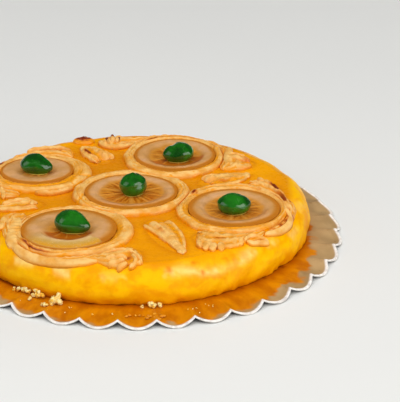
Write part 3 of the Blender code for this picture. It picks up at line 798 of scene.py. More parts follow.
def rope_surface(name, seed):
    """Rows run over the rope from its inner edge to its outer edge and back under it, and columns run
    round. Height = arch * (1 - groove * ridges) + blob at the join, where arch = (4 q (1 - q))^0.42 for
    q from 0 to 1 across, and the ridges are a cosine of q that drifts as it goes round."""
    angle = all_round(ROPE_STEPS, -math.pi)
    across = 0.5 - 0.5 * np.cos(np.linspace(0, math.pi, ROPE_ACROSS))[:, None]
    inner, outer = ring_edges(name, angle)
    width = outer - inner
    squash = np.minimum(width / ROPE_FULL_WIDTH, 1.0) ** 0.5
    arch = (4 * across * (1 - across)) ** 0.42
    drift = 0.16 * np.sin(angle + seed) + 0.08 * np.sin(3 * angle + 2 * seed)
    ridges = 0.5 + 0.5 * np.cos(2 * math.pi * ROPE_RIDGES * (across + drift * arch))
    between, burnt = strands(name, seed, angle, across)
    join = degrees_from(angle, RINGS[name]["join"])
    blob = JOIN_HEIGHT * bump_at(np.radians(join), JOIN_SPREAD)
    crease = bump_at(join - 9 - 16 * (across - 0.5), 2.2)
    ring_x, ring_y = metres(RINGS[name]["outer"][:2])
    radius = inner + across * width + 0.25 * MM * ripples(seed, 18 * MM, outer * angle, across * width)
    x, y = ring_x + radius * np.cos(angle), ring_y + radius * np.sin(angle)
    swell = 1.0 + 0.06 * np.sin(4 * angle + across) + 0.05 * ripples(seed + 1, 14 * MM, x, y)
    height = ROPE_HEIGHT * squash * arch * swell * (1 - ROPE_GROOVE * ridges - between)
    height = height + blob * arch - JOIN_CREASE * crease * arch
    direction, spread, reach = SYRUPED[name]
    syruped = bump_at(degrees_from(angle, direction), spread) * soft_step(across, reach, 0.6 * reach)
    height = height * (1 - 0.1 * syruped)
    lines = ripples(seed + 6, 1.7 * MM, width * (across + 0.3 * drift))
    lines = lines * (0.6 + 0.4 * np.sin(3 * angle + seed)) + 0.5 * ripples(seed + 7, 3 * MM, x, y)
    height = height + (ROPE_ROUGH * ripples(seed + 2, 4 * MM, x, y) + ROPE_LINES * lines) * MM * arch
    crest = soft_step(height / ROPE_HEIGHT, 0.78, 1.05) * (1 - ridges)
    caught = spots(TOASTED[name], lambda direction, place, spread: np.hypot(
        degrees_from(angle, direction) / spread, (across - place) / 0.3))
    toast = burnt + caught * (0.45 + 0.75 * crest)
    toast = toast + 0.16 * crest * soft_step(ripples(seed + 3, 22 * MM, x, y), 0, 1)
    patches = soft_step(ripples(seed + 4, 15 * MM, x, y), -0.2, 0.8)
    wet = soft_step(arch, 0.8, 0.3) * (0.35 + 0.5 * patches) + 2.0 * between * patches + 0.5 * crease
    wet = wet + 0.55 * soft_step(-lines, 0.0, 0.9) * patches + syruped
    # the groove mask darkens the paste to orange: glaze in the grooves, and painted shade there
    groove = 0.2 * ridges + 2.4 * between + 0.35 * soft_step(-lines, -0.2, 1.0)
    under_x, under_y = np.stack((x[-1], x[0])), np.stack((y[-1], y[0]))
    z = np.concatenate((laid(x, y, height), laid(under_x, under_y, -SINK)))
    x, y = np.concatenate((x, under_x)), np.concatenate((y, under_y))
    under = np.zeros_like(under_x)
    masks = {"groove": np.concatenate((groove, under)), "toast": np.concatenate((toast, under)),
             "wet": np.concatenate((wet, under + 1))}
    return x, y, z, masks


# %% Pipe the rings
lay_each(RINGS, rope_surface, "piped_ring_", "ring_", 310, 10, PASTE, wrap_rows=True)


# %% [markdown]
# ## Leaves and scrolls
# A leaf is one pull of the nozzle: it starts broad, with the star's ridges spread like fingers, and thins
# out to a point. A scroll starts the same way and then runs on along its ring as a tail. Both are a ball
# whose poles are the two ends: one parameter goes along the piece and the other round it. The half below
# is pressed flat into the glaze.

# %% Ridges of a pulled piece
PIPED_GROOVE = 0.22
LEAF_RIDGES, LEAF_FINGER = 4, 3.0 * MM
PULLED_ROWS, PULLED_ROUND = 90, 96
PULLED_SKIN = 2.5 * MM                      # size of the small unevenness of its skin


def upper_half(turn):
    """True where a direction round a section points up."""
    return np.sin(turn) > 0.01


def pulled_ridges(turn, ridges, drift):
    """Share of the full height over the section, 0 at both edges, and the groove mask: an arch, cut
    by a cosine of the turn."""
    arch = np.maximum(np.sin(turn), 0.0) ** 0.7
    groove = 0.5 + 0.5 * np.cos(2 * ridges * (turn + drift * np.sin(turn)))
    return arch * (1.0 - PIPED_GROOVE * groove ** 1.6), groove


def rounded(distance, reach):
    """A quarter circle: 0 at distance 0 and 1 from reach on."""
    return np.sqrt(1.0 - np.clip(1.0 - distance / reach, 0.0, 1.0) ** 2)


# %% Leaves
# The deep channel in each leaf that filled with glaze: its turn over the section in degrees
LEAF_CHANNEL = {"front": 58, "right": 118, "left": 74, "back": 74}
# How blunt each leaf is: 1 would taper evenly, and more keeps it broad for longer
LEAF_BLUNT = {"front": 1.7, "right": 2.3, "left": 1.7, "back": 3.0}
# Browned places on leaves: place along (0 broad end, 1 tip), turn over the section in degrees, strength
LEAF_TOAST = {
    "front": ((0.30, 118, 0.5), (0.55, 70, 0.35)),
    "right": ((0.25, 115, 0.6), (0.5, 100, 0.3)),
    "left": ((0.35, 70, 0.6), (0.15, 60, 0.4)),
    "back": ((0.42, 62, 1.0), (0.55, 60, 0.7)),
}


def leaf_surface(name, seed):
    """Rows run from the broad end to the tip and columns run round the section, after one row that
    closes the end. Half width = half * (1 - along^blunt)^0.8, and each finger is pulled out past the
    broad end by its share of the ridges' cosine."""
    broad, tip, half_width, tall = LEAVES[name]
    along = np.linspace(0, 1, PULLED_ROWS)[:, None] ** 1.15
    turn = all_round(PULLED_ROUND)
    upper = upper_half(turn)
    end = np.clip(1 - along ** LEAF_BLUNT[name], 0, 1) ** 0.8 + 0.13 * bump_at(along - 0.93, 0.05)
    start = rounded(along, 0.13)
    wander = 0.10 * np.sin(2.5 * along + seed)
    groove = (0.5 + 0.5 * np.cos(2 * LEAF_RIDGES * (turn + wander * np.sin(turn)))) ** 1.5
    arch = np.maximum(np.sin(turn), 0.0) ** 0.6
    deep = 0.12 + 0.42 * bump_at(along, 0.22)
    channel = bump_at((np.degrees(turn) - LEAF_CHANNEL[name] - 14 * along) / 13, 1.0)
    channel = channel * soft_step(along, 0.95, 0.6)
    share = arch * (1 - deep * groove) * (1 - 0.34 * channel)
    groove = np.maximum(0.25 * groove + 0.4 * groove * bump_at(along, 0.3), channel)
    longer = 1 + 0.35 * np.sin(3 * turn + seed)
    finger = LEAF_FINGER * longer * (1 - groove) * np.clip(1 - along / 0.5, 0, 1) * upper
    length = math.dist(broad, tip) * MM
    bend = 0.06 * length * np.sin(math.pi * along) * math.sin(seed)
    forward = length * (0.04 + 0.96 * along) - finger
    sideways = half_width * MM * (0.86 + 0.14 * start) * end * np.cos(turn) + bend
    c, s = (tip[0] - broad[0]) * MM / length, (tip[1] - broad[1]) * MM / length
    x = broad[0] * MM + c * forward - s * sideways
    y = broad[1] * MM + s * forward + c * sideways
    height = 0.84 * tall * MM * share * start * (0.30 + 0.70 * end)
    height = height * (1 + 0.12 * ripples(seed, 7 * MM, x, y))
    height = height + 0.14 * MM * ripples(seed + 1, PULLED_SKIN, x, y) * share * start
    toast = spots(LEAF_TOAST[name], lambda place, where: np.hypot(
        (along - place) / 0.2, (np.degrees(turn) - where) / 13))
    patches = soft_step(ripples(seed + 2, 9 * MM, x, y), -0.9, 0.6)
    wet = (groove * 0.3 * upper + soft_step(share, 0.45, 0.15)) * patches + channel
    z = laid(x, y, np.where(upper, height, -SINK))
    masks = {"groove": groove * upper, "toast": toast * upper, "wet": wet}
    first = 0 * x[:1]
    x, y = np.concatenate((x[:1].mean() + first, x)), np.concatenate((y[:1].mean() + first, y))
    z = np.concatenate((z[:1].min() + first, z))
    return x, y, z, {mask: np.concatenate((values[:1], values)) for mask, values in masks.items()}


# %% Pull the leaves
lay_each(LEAVES, leaf_surface, "piped_leaf_", "leaf_", 410, 10, PASTE)

# %% Scrolls
SCROLL_RIDGES, SCROLL_BIAS = 4, 1.3
SCROLL_START, SCROLL_END = 0.14, 0.10
# Hollows in the curls: direction from the ring's middle, distance off the ring, radius (mm)
HOLLOWS = {
    "right_low": (-73, 6.0, 3.2),
    "front_right": (-48, 17.5, 4.6),
    "back_right": (-6, 13.0, 4.6),
}
HOLLOW_DEPTH = 0.55
SCROLL_UNDER = 0.70                         # the body under the fingers, as a share of the full height
# Browned places: direction from the ring's middle, distance off the ring, size (mm) and strength
SCROLL_TOAST = {
    "right_low": ((-73, 7, 3, 0.5),),
    "right_high": (
        (58, 11, 3, 0.9), (50, 7, 3, 0.7), (15, 4, 2.4, 0.9), (-14, 2, 4, 0.5), (-14, 2.5, 3, 0.5),
        (-26, 2, 3, 0.9), (-38, 2, 3, 0.9), (-50, 2.5, 3, 0.6)),
    "front_right": ((-48, 17, 3, 0.9), (-42, 14, 3, 0.5), (-130, 1, 8, 0.5), (-115, 1, 6, 0.4)),
    "front_left": ((150, 8, 3, 0.4), (170, 5, 4, 0.4)),
    "back_right": ((-6, 13, 3.4, 0.8), (8, 12, 3, 0.5)),
    "back_left": ((145, 25, 2.4, 1.0), (139, 22, 2.4, 1.0), (150, 25, 2.2, 0.9)),
    "left_high": ((75, 8, 3, 0.7), (85, 7, 4, 0.6)),
    "left_low": ((-120, 8, 3, 0.5),),
}


def scroll_surface(name, seed):
    """Rows run from the broad end to the tail and columns run round the section. The edges stand off
    the ring as the stations say, and lobes notch the outer one."""
    ring, tall, (lobes, lobe_depth), stations = SCROLLS[name]
    ring_x, ring_y = metres(RINGS[ring]["outer"][:2])
    along = np.linspace(0, 1, PULLED_ROWS)[:, None]
    turn = all_round(PULLED_ROUND)
    directions, inner_offs, outer_offs = np.array(stations, dtype=float).T
    first, last = directions[0], directions[-1]
    direction = first + (last - first) * along**SCROLL_BIAS
    passed = (direction - first) / (last - first)
    station_at = (directions - first) / (last - first)
    inner_off = np.interp(passed, station_at, inner_offs)
    outer_off = np.interp(passed, station_at, outer_offs)
    notch = np.abs(np.cos(math.pi * lobes * passed)) ** 3
    outer_off = outer_off * (1.0 - lobe_depth * notch * (np.cos(turn) > 0))
    start, close = rounded(along, SCROLL_START), rounded(1.0 - along, SCROLL_END)
    half = 0.5 * (outer_off - inner_off)
    off = inner_off + half + half * np.cos(turn) * start * close
    angle = np.radians(direction)
    reach = ring_edges(ring, angle)[1] + HUG_GAP + off * MM
    x, y = ring_x + reach * np.cos(angle), ring_y + reach * np.sin(angle)

    def apart(at_direction, at_off, size):
        """Distance over the scroll from a place on it, counted in sizes."""
        return np.hypot(np.radians(direction - at_direction) * reach / MM, off - at_off) / size

    share, groove = pulled_ridges(turn, SCROLL_RIDGES, 0.15 * np.sin(4 * along + seed))
    outward = soft_step(np.cos(turn), -0.4, 0.8)
    share = share * (1 - 0.35 * notch * outward)
    groove = np.maximum(groove, notch * outward)
    thick = SCROLL_UNDER * tall * MM * (2.0 * half / outer_offs.max()) ** 0.4 * start * close
    height = thick * share * (1 + 0.12 * ripples(seed, 6 * MM, x, y))
    hollow = bump_at(apart(*HOLLOWS[name]), 1.0) if name in HOLLOWS else 0 * height
    height = height * (1 - HOLLOW_DEPTH * hollow)
    height = height + 0.12 * MM * ripples(seed + 1, PULLED_SKIN, x, y) * share
    upper = upper_half(turn)
    patches = soft_step(ripples(seed + 2, 9 * MM, x, y), -0.9, 0.6)
    wet = (groove * 0.5 * upper + soft_step(share, 0.5, 0.15)) * patches + 0.9 * hollow * upper
    masks = {"groove": groove * upper, "toast": spots(SCROLL_TOAST[name], apart) * upper, "wet": wet}
    return x, y, laid(x, y, np.where(upper, height, -SINK)), masks


# %% Pipe the scrolls
lay_each(SCROLLS, scroll_surface, "piped_scroll_", "scroll_", 510, 10, PASTE)

# %% [markdown]
# The curls end in fingers, where the star's ridges were pulled apart. Each finger is laid over its scroll
# as a short soft strand along a path of a few places. The path is smoothed by averaging it with its
# neighbours, which rounds the corners but keeps the ends where they are.

# %% Fingers of the curls
# Path over the cake in plan (mm), half width, height over the cake (mm) and browning of the far end.
# Browning above 1 starts sooner along the strand, so most of it is brown.
FINGERS = (
    (((58.3, -69.5), (53.9, -65.3), (48.2, -65.3), (43.4, -69.6), (41.6, -76.7), (43.5, -82.5)),
     2.4, 4.2, 0.0),
    (((49.8, -75.0), (46.5, -79.9), (46.2, -85.6)), 2.8, 3.8, 0.0),
    (((52.2, -77.0), (50.6, -82.4), (50.8, -87.0)), 2.9, 3.8, 0.0),
    (((56.4, -76.0), (56.2, -81.6), (55.8, -85.8)), 2.8, 3.8, 0.0),
    (((61.2, -67.2), (60.8, -74.0), (61.0, -78.6)), 2.5, 3.9, 0.0),
    (((65.0, -67.2), (64.8, -74.0), (64.9, -79.0)), 2.6, 3.9, 0.0),
    (((68.6, -67.8), (69.0, -73.0), (68.7, -77.4)), 2.3, 3.7, 0.0),
    (((71.5, -73.1), (73.3, -68.2), (77.6, -65.6), (82.1, -65.6), (88.0, -66.6)), 1.3, 3.8, 0.0),
    (((72.6, -72.4), (75.4, -74.4), (80.3, -71.4), (88.0, -66.9)), 1.2, 3.6, 0.0),
    (((66.0, 16.2), (73.6, 14.1), (84.8, 8.7), (92.5, -1.1), (99.4, -13.5)), 1.6, 4.2, 0.6),
    (((76.5, 21.8), (88.3, 14.7), (97.8, 1.1), (101.8, -12.1)), 1.4, 4.8, 0.9),
    (((82.2, 25.0), (90.4, 18.4), (97.5, 6.2)), 1.2, 5.2, 2.0),
    (((99.3, -13.8), (103.0, -20.5), (106.0, -25.1)), 1.8, 4.4, 0.3),
    (((99.5, -22.4), (102.4, -29.5), (103.8, -35.1)), 1.8, 4.0, 0.0),
    (((104.0, -32.0), (101.6, -43.2), (94.8, -54.0), (84.8, -61.6)), 1.9, 3.8, 0.0),
    (((-21.5, -96.2), (-13.6, -89.6), (-6.9, -87.2), (-0.6, -90.6), (4.1, -97.8), (6.1, -104.8)),
     1.3, 4.8, 0.1),
    (((-17.7, -101.3), (-11.2, -98.3), (-6.5, -97.4), (-3.6, -100.1)), 1.7, 5.0, 0.0),
    (((-15.8, -106.4), (-9.9, -104.5), (-4.8, -101.4)), 1.6, 4.6, 0.0),
    (((-9.7, -109.4), (-6.4, -107.0), (-3.2, -104.5)), 1.5, 4.2, 0.0),
    (((-0.8, -95.3), (2.1, -100.5), (1.6, -105.8), (-2.2, -108.5)), 1.4, 4.4, 0.0),
    (((-80.2, -72.0), (-76.6, -81.0), (-69.8, -88.3), (-59.0, -95.6), (-43.5, -101.4), (-30.8, -103.6),
      (-20.8, -101.1)),
     2.4, 3.8, 0.0),
    (((-80.5, -38.0), (-79.3, -47.5), (-79.7, -61.2), (-79.8, -72.0), (-77.6, -79.0)), 4.4, 3.9, 0.1),
    (((-86.0, -37.0), (-88.2, -46.0), (-89.6, -55.7)), 3.0, 3.8, 0.0),
    (((-92.0, -17.5), (-86.0, -13.0), (-80.2, -9.7), (-74.0, -9.6), (-70.0, -14.7), (-72.5, -19.5)),
     1.7, 4.6, 0.2),
    (((-93.0, -24.4), (-85.2, -23.4), (-78.2, -21.0)), 2.0, 3.6, 0.0),
    (((-23.0, 88.0), (-25.2, 93.0), (-27.0, 98.0)), 1.8, 7.0, 12.0),
    (((-21.2, 88.6), (-21.8, 94.0), (-22.1, 100.0)), 2.0, 8.8, 12.0),
    (((-19.3, 89.8), (-18.0, 94.0), (-16.8, 98.4)), 1.8, 7.0, 12.0),
    (((-31.7, 96.6), (-27.8, 87.7), (-18.9, 84.8), (-10.5, 88.9), (-4.0, 95.5)), 2.4, 4.0, 0.0),
    (((64.5, 84.0), (62.4, 69.0), (62.2, 55.5), (66.2, 48.4), (73.0, 47.2), (79.6, 53.0)), 3.2, 4.4, 0.0),
    (((63.4, 66.4), (70.0, 62.2), (78.4, 57.6)), 2.8, 5.4, 0.6),
    (((63.6, 71.5), (69.4, 70.2), (75.0, 67.4)), 1.3, 4.2, 0.0),
    (((-83.9, 77.0), (-69.8, 82.4), (-58.0, 83.6), (-51.0, 77.4)), 1.9, 4.4, 0.4),
    (((-80.7, 72.8), (-64.8, 75.6), (-51.0, 71.8)), 1.8, 3.8, 0.0),
    (((-71.3, 3.8), (-60.8, 1.8), (-50.7, 6.6), (-45.4, 12.0)), 1.5, 4.4, 0.0),
    (((-95.6, 9.9), (-92.2, 1.0), (-91.9, -5.7)), 2.0, 4.2, 0.1),
)
FINGER_ROWS, FINGER_ROUND = 40, 20


def finger_grid(path, half_width, tall, browned, seed):
    """Sideways from the path = half width * cos(turn), and height = tall * sin(turn)^p, where p is near
    0.6 and smaller on a wide strand, which is flatter. Both fall a little towards the far end, and a
    quarter ellipse rounds them off over 1.6 half widths, or over 0.18 of a long strand."""
    places = np.array(path) * MM
    run = np.concatenate(([0.0], np.cumsum(np.hypot(*np.diff(places, axis=0).T))))
    share = np.linspace(0, 1, FINGER_ROWS)
    line = np.stack([np.interp(share * run[-1], run, places[:, axis]) for axis in (0, 1)], axis=1)
    for _ in range(30):
        line[1:-1] = 0.5 * line[1:-1] + 0.25 * (line[:-2] + line[2:])
    ahead = np.gradient(line, axis=0)
    ahead = ahead / np.hypot(ahead[:, :1], ahead[:, 1:])
    from_end = np.minimum(share, 1 - share) / max(1.6 * half_width * MM / run[-1], 0.18)
    round_off = rounded(from_end, 1.0)[:, None]
    turn = all_round(FINGER_ROUND)
    sideways = half_width * MM * round_off * np.cos(turn) * (1 - 0.12 * share[:, None])
    x = line[:, :1] - ahead[:, 1:] * sideways
    y = line[:, 1:] + ahead[:, :1] * sideways
    arch = np.maximum(np.sin(turn), 0) ** (0.7 - 0.08 * half_width) * round_off**0.7
    height = 0.86 * tall * MM * arch * (1 - 0.2 * share[:, None])
    height = height * (1 + 0.10 * ripples(seed, 5 * MM, x, y))
    z = laid(x, y, np.where(upper_half(turn), height, -SINK))
    toast = browned * soft_step(share, 0.35, 0.9)[:, None] * soft_step(arch, 0.1, 0.5)
    return x, y, z, {"groove": 0 * x, "toast": toast, "wet": soft_step(arch, 0.75, 0.3) * 0.6}


# %% Lay the fingers as one mesh
points, faces, masks = [], [], {"groove": [], "toast": [], "wet": []}
for seed, finger in enumerate(FINGERS, start=600):
    x, y, z, own_masks = finger_grid(*finger, seed)
    faces.append(grid_faces(*x.shape, False, True) + len(points) * x.size)
    points.append(np.stack((x, y, z), axis=-1).reshape(-1, 3))
    for mask, values in own_masks.items():
        masks[mask].append(values.ravel())
masks = {mask: np.concatenate(values) for mask, values in masks.items()}
points, faces = np.concatenate(points), np.concatenate(faces)
make_piece("piped_fingers", points, faces, PASTE, masks=masks)
print(len(FINGERS), "fingers")

# %% A dab on the rim
DAB_PLACE, DAB_SIZE = (-43.6, 98.8), (8.2, 6.0, 3.4)


def dab_surface():
    """A small mound: a half ball with lumps, browned on its crown."""
    down, turn = np.linspace(0, math.pi, 40)[:, None], all_round(56)
    half_w, half_d, tall = metres(DAB_SIZE)
    x = DAB_PLACE[0] * MM + half_w * np.sin(down) * np.cos(turn)
    y = DAB_PLACE[1] * MM + half_d * np.sin(down) * np.sin(turn)
    rise = np.cos(down) * (1 + 0.14 * ripples(61, 4 * MM, x, y)) + 0 * turn
    masks = {"groove": 0 * rise, "toast": soft_step(rise, 0.45, 0.95), "wet": 0.8 + 0 * rise}
    return x, y, laid(x, y, np.where(rise > 0, tall * rise, -SINK)), masks


x, y, z, masks = dab_surface()
grid_piece("piped_dab", x, y, z, PASTE, ["rim_dab"], masks)
print("dab at", DAB_PLACE)


# %% [markdown]
# ## Candied citrus slices
# A slice is candied whole: translucent amber flesh in segments, a swollen pale ring of pith and a thin
# dark rind. It is a disc in polar form, so segments and rings are simple functions of the angle and the
# radius. The walls between segments stand a little proud. The syrup is painted darker round the cherry's
# seat as its shade, and darkest on the side towards the camera, as the cherry's shadow and reflection.

# %% Peel and segments of a slice
SLICE_FLESH_THICK = 2.0 * MM
SLICE_SEGMENTS = 10
SLICE_COLUMNS, SLICE_ROWS = 264, 76
RIND_FROM = 0.9                             # the rind starts no further out than this share
# Each slice: the share of its radius that is flesh, how clearly the flesh shows, its turn, the
# direction (degrees) of the painted shadow and reflection of the cherry in the syrup in front of it, and
# the pith ring's middle and half width as shares of the radius
SLICES = {
    "centre": (0.72, 1.0, 0.3, -80, 0.81, 0.10),
    "right": (0.66, 0.9, 1.1, -80, 0.76, 0.10),
    "back": (0.62, 0.9, 2.0, -75, 0.80, 0.12),
    "left": (0.46, 0.3, 0.7, -60, 0.72, 0.24),
    "front": (0.44, 0.8, 1.6, -90, 0.66, 0.17),
}
# How dark the painted shadow and reflection of the cherry in the syrup are
SYRUP_SHADE_STRENGTH = {"centre": 0.35, "right": 0.35, "back": 0.9, "left": 0.3, "front": 1.0}
# The front slice keeps a strip of its peel, torn off at one end: direction of the strip's middle and
# half its length in degrees, and the share of the radius where it starts
STRIPS = {"front": (-106, 68, 0.60)}


def peel_strip(name, angle, out, wave):
    """1 on the strip of peel that a slice keeps: torn off at one end and thinning out at the other."""
    if name not in STRIPS:
        return np.zeros((len(out), angle.size))
    strip_at, strip_half, strip_from = STRIPS[name]
    aside = degrees_from(angle, strip_at)
    torn = soft_step(strip_half - aside + 2 * np.sin(25 * out), 0, 3)
    strip = torn * soft_step(aside + strip_half, 0, 50)
    strip = strip * soft_step(out, strip_from + wave, strip_from + 0.05 + wave)
    return strip * soft_step(out, 0.985, 0.93)


def segments(name, seed, angle, out, flesh):
    """The walls between segments, as bells round evenly turned rays, and the darker pulp between
    them, broken up by grain and by threads that run outwards."""
    flesh_share, turned, half_x = SLICES[name][0], SLICES[name][2], RINGS[name]["inner"][2] * MM
    turn = (angle + turned + 0.05 * np.sin(7 * angle + seed)) * SLICE_SEGMENTS / (2 * math.pi)
    from_wall = np.abs(turn - np.round(turn)) * 2 * math.pi / SLICE_SEGMENTS * out * half_x
    wall = bump_at(from_wall, 0.8 * MM) * flesh * soft_step(out, 0.10, 0.2)
    grain = ripples(seed, 0.9, angle * 9.0, out * 2.4)
    grain = grain + 0.6 * ripples(seed + 5, 0.35, angle * 9.0, out * 2.4)
    threads = 0.5 + 0.5 * np.sin(34 * angle + 3 * np.sin(5 * angle + seed) + 2 * out)
    pulp = soft_step(from_wall, 0.3 * MM, 1.6 * MM) * soft_step(grain + 0.9 * (threads - 0.5), -0.6, 0.6)
    pulp = pulp * soft_step(out, flesh_share - 0.02, flesh_share - 0.16)
    return wall, pulp


# %% The slice's surface
def slice_surface(name, seed):
    """Rows run from the middle out over the rim and back under, and columns run round. The flesh is
    sunk a little, the pith round it is a flat-topped ring with soft edges, and the rind falls off."""
    flesh_share, clear, _, shade_direction, pith_at, pith_half = SLICES[name]
    angle = all_round(SLICE_COLUMNS, -math.pi)
    out = np.concatenate((np.linspace(0, 1, SLICE_ROWS), (1.005, 0.99, 0.5, 0.0)))[:, None]
    under = np.arange(len(out))[:, None] > SLICE_ROWS
    mid_x, mid_y, half_x, half_y = metres(RINGS[name]["inner"])
    x = mid_x + half_x * out * np.cos(angle)
    y = mid_y + half_y * out * np.sin(angle)
    wave = 0.012 * np.sin(3 * angle + seed) + 0.008 * np.sin(7 * angle + 2 * seed)
    flesh = soft_step(out, flesh_share + wave + 0.05, flesh_share + wave - 0.05)
    pith = bump_at(np.maximum(np.abs(out - pith_at - wave) - 0.35 * pith_half, 0), 0.75 * pith_half)
    strip = peel_strip(name, angle, out, wave)
    nearer = soft_step(-np.sin(angle), 0.1, 0.9)
    rind_at = min(pith_at + pith_half, RIND_FROM) + wave - 0.09 * nearer
    rind = soft_step((out - rind_at) / (0.96 - 0.07 * nearer - rind_at), 0.0, 1.0)
    wall, pulp = segments(name, seed, angle, out, flesh)
    raised = soft_step(out, pith_at - 1.4 * pith_half, pith_at)
    height = SLICE_FLESH_THICK - 0.25 * MM + 0.9 * MM * raised - 0.35 * MM * rind
    height = height + MM * (0.20 * wall - 0.22 * pulp * flesh)
    height = height + MM * 0.14 * ripples(seed + 1, 8 * MM, x, y) * pith
    height = height + 1.1 * MM * strip * (1 - 2.0 * np.clip(out - 0.62, 0, 1))
    height = height - 0.25 * MM * soft_step(out, 0.5, 0.3)
    # painted shade: the syrup is darkened in front of the cherry, as its shadow and reflection, and round
    # its seat
    aim = np.abs(degrees_from(angle, shade_direction)) + 6 * np.sin(9 * out + seed)
    syrup = soft_step(aim, 78, 62) * soft_step(out, flesh_share + 0.14 + wave, flesh_share + 0.06 + wave)
    syrup = syrup * SYRUP_SHADE_STRENGTH[name] + 0.35 * soft_step(out, 0.36, 0.26)
    masks = {
        "flesh": flesh * clear, "wall": wall, "pulp": pulp * flesh * clear, "pith": pith,
        "rind": rind * (1 - strip), "syrup": syrup * (1 - 0.5 * wall) * (1 - strip), "strip": strip,
        "outward": strip * soft_step(out, 0.62, 0.95),
    }
    return x, y, laid(x, y, np.where(under, -0.3 * MM, height)), masks


# %% Finish of the slices
def citrus_finish():
    """Amber flesh with darker pulp and paler walls, pinkish pith and a darker rind, under syrup."""
    fruit = Finish("candied_citrus", coat_roughness=0.1, specular_ior_level=0.15)
    flesh, wall, pulp, pith, rind, syrup, strip, outward = fruit.masks(
        "flesh", "wall", "pulp", "pith", "rind", "syrup", "strip", "outward")
    drift = fruit.noise(0.009, 3.0)
    fine = fruit.noise(0.0013, 2.0)
    tones = drift.step(0.35, 0.7)
    peel = fruit.paint(
        fruit.mix((222, 182, 120), (206, 160, 74), outward.step(0.0, 0.55)),
        ((224, 156, 36), outward.step(0.55, 1.0)),
        ((232, 194, 146), fine.step(0.5, 0.75) * 0.4),
    )
    colour = fruit.paint(
        fruit.mix((200, 132, 44), (210, 148, 70), tones),
        (fruit.mix((216, 142, 44), (172, 86, 0), pulp), flesh),
        (fruit.mix((210, 154, 90), (222, 168, 116), tones), pith),
        ((226, 156, 72), wall * 0.45),
        ((196, 116, 22), rind * (0.7 + drift * 0.5)),
        # painted shadow and reflection of the cherry, laid over the syrup
        ((184, 90, 2), syrup * 0.9),
        (peel, strip),
    )
    rough = 0.34 + (fine - 0.5) * 0.2
    relief = fruit.bump(fine, 0.00018)
    coat = 0.2 + syrup * 0.4
    return fruit.surface(base_color=colour, roughness=rough, coat_weight=coat, normal=relief)


CITRUS = citrus_finish()

# %% Lay the slices
lay_each(RINGS, slice_surface, "citrus_slice_", "slice_", 71, 1, CITRUS)


# %% [markdown]
# ## Candied cherries
# A candied cherry is a soft ball, soaked in green syrup. It sags on a flat seat, its skin has dents, and
# one is creased like a heart where the stalk was. A plain sphere would look like a bead, so the ball is
# drawn out at one end, creased and dented by functions of its own coordinates.

# %% The cherry's surface
# Place, then half width, half depth and height (mm), heading in degrees, how much one end narrows, how
# deep the crease is, and the height of the little peak on the crown (mm)
CHERRIES = {
    "centre": ((-3.3, 1.8), (9.5, 9.0, 14.6), 0, 0.05, 0.0, 0.9),
    "right": ((65.4, -28.6), (11.5, 9.2, 12.8), 0, 0.06, 0.0, 0.0),
    "back": ((26.9, 61.2), (11.4, 9.0, 12.8), 14, -0.22, 0.10, 0.0),
    "left": ((-72.6, 39.4), (11.8, 9.4, 13.0), -18, 0.36, 0.0, 0.0),
    "front": ((-40.6, -57.8), (12.4, 9.8, 13.8), -24, 0.32, 0.0, 0.0),
}
CHERRY_SEAT = 0.78                          # the ball is cut off this far below its middle
CHERRY_SKIRT = 0.9 * MM                     # how far the syrup spreads at the seat


def cherry_surface(name, seed):
    """Rows run from the crown down to the seat and columns run round. taper narrows the ball towards
    one end, the crease is a bell across it, and a skirt spreads at the seat, where syrup gathered."""
    (place_x, place_y), sizes, heading, taper, crease, peak = CHERRIES[name]
    half_w, half_d, tall = metres(sizes)
    down, turn = np.linspace(0, math.pi, 72)[:, None], all_round(96)
    ball_x, ball_y = np.sin(down) * np.cos(turn), np.sin(down) * np.sin(turn)
    ball_z = np.cos(down) + 0 * turn
    dents = 1 + 0.020 * ripples(seed, 0.9, ball_x, ball_y, ball_z)
    dents = dents + 0.003 * ripples(seed + 1, 0.25, ball_x, ball_y, ball_z)
    seated = np.maximum(ball_z * dents, -CHERRY_SEAT)
    dip = 1.0 - crease * bump_at(ball_x + 0.25, 0.24) * (ball_z > -CHERRY_SEAT)
    far_end = np.clip(ball_x * np.sign(taper), 0, 1)
    height = tall * (seated + CHERRY_SEAT) / (1 + CHERRY_SEAT)
    height = height * (1 - 0.8 * abs(taper) * far_end) * dip + peak * MM * bump_at(down, 0.16)
    skirt = CHERRY_SKIRT * bump_at(height, 0.5 * MM) * soft_step(np.sin(down), 0.5, 0.62)
    long_way = half_w * ball_x * dents + skirt * np.cos(turn)
    cross_way = half_d * ball_y * dents * (1 - taper * (ball_x + 0.2)) + skirt * np.sin(turn)
    c, s = math.cos(math.radians(heading)), math.sin(math.radians(heading))
    x = place_x * MM + c * long_way - s * cross_way
    y = place_y * MM + s * long_way + c * cross_way
    z = DECOR_Z + SLICE_FLESH_THICK - 0.3 * MM + height
    # the first mask is a thin band at the seat, for a painted highlight, and the second the lower part,
    # for a painted glow
    return x, y, z, {"seat_highlight": soft_step(height, 1.0 * MM, 0.3 * MM),
                     "low": soft_step(height, 4.6 * MM, 1.4 * MM)}


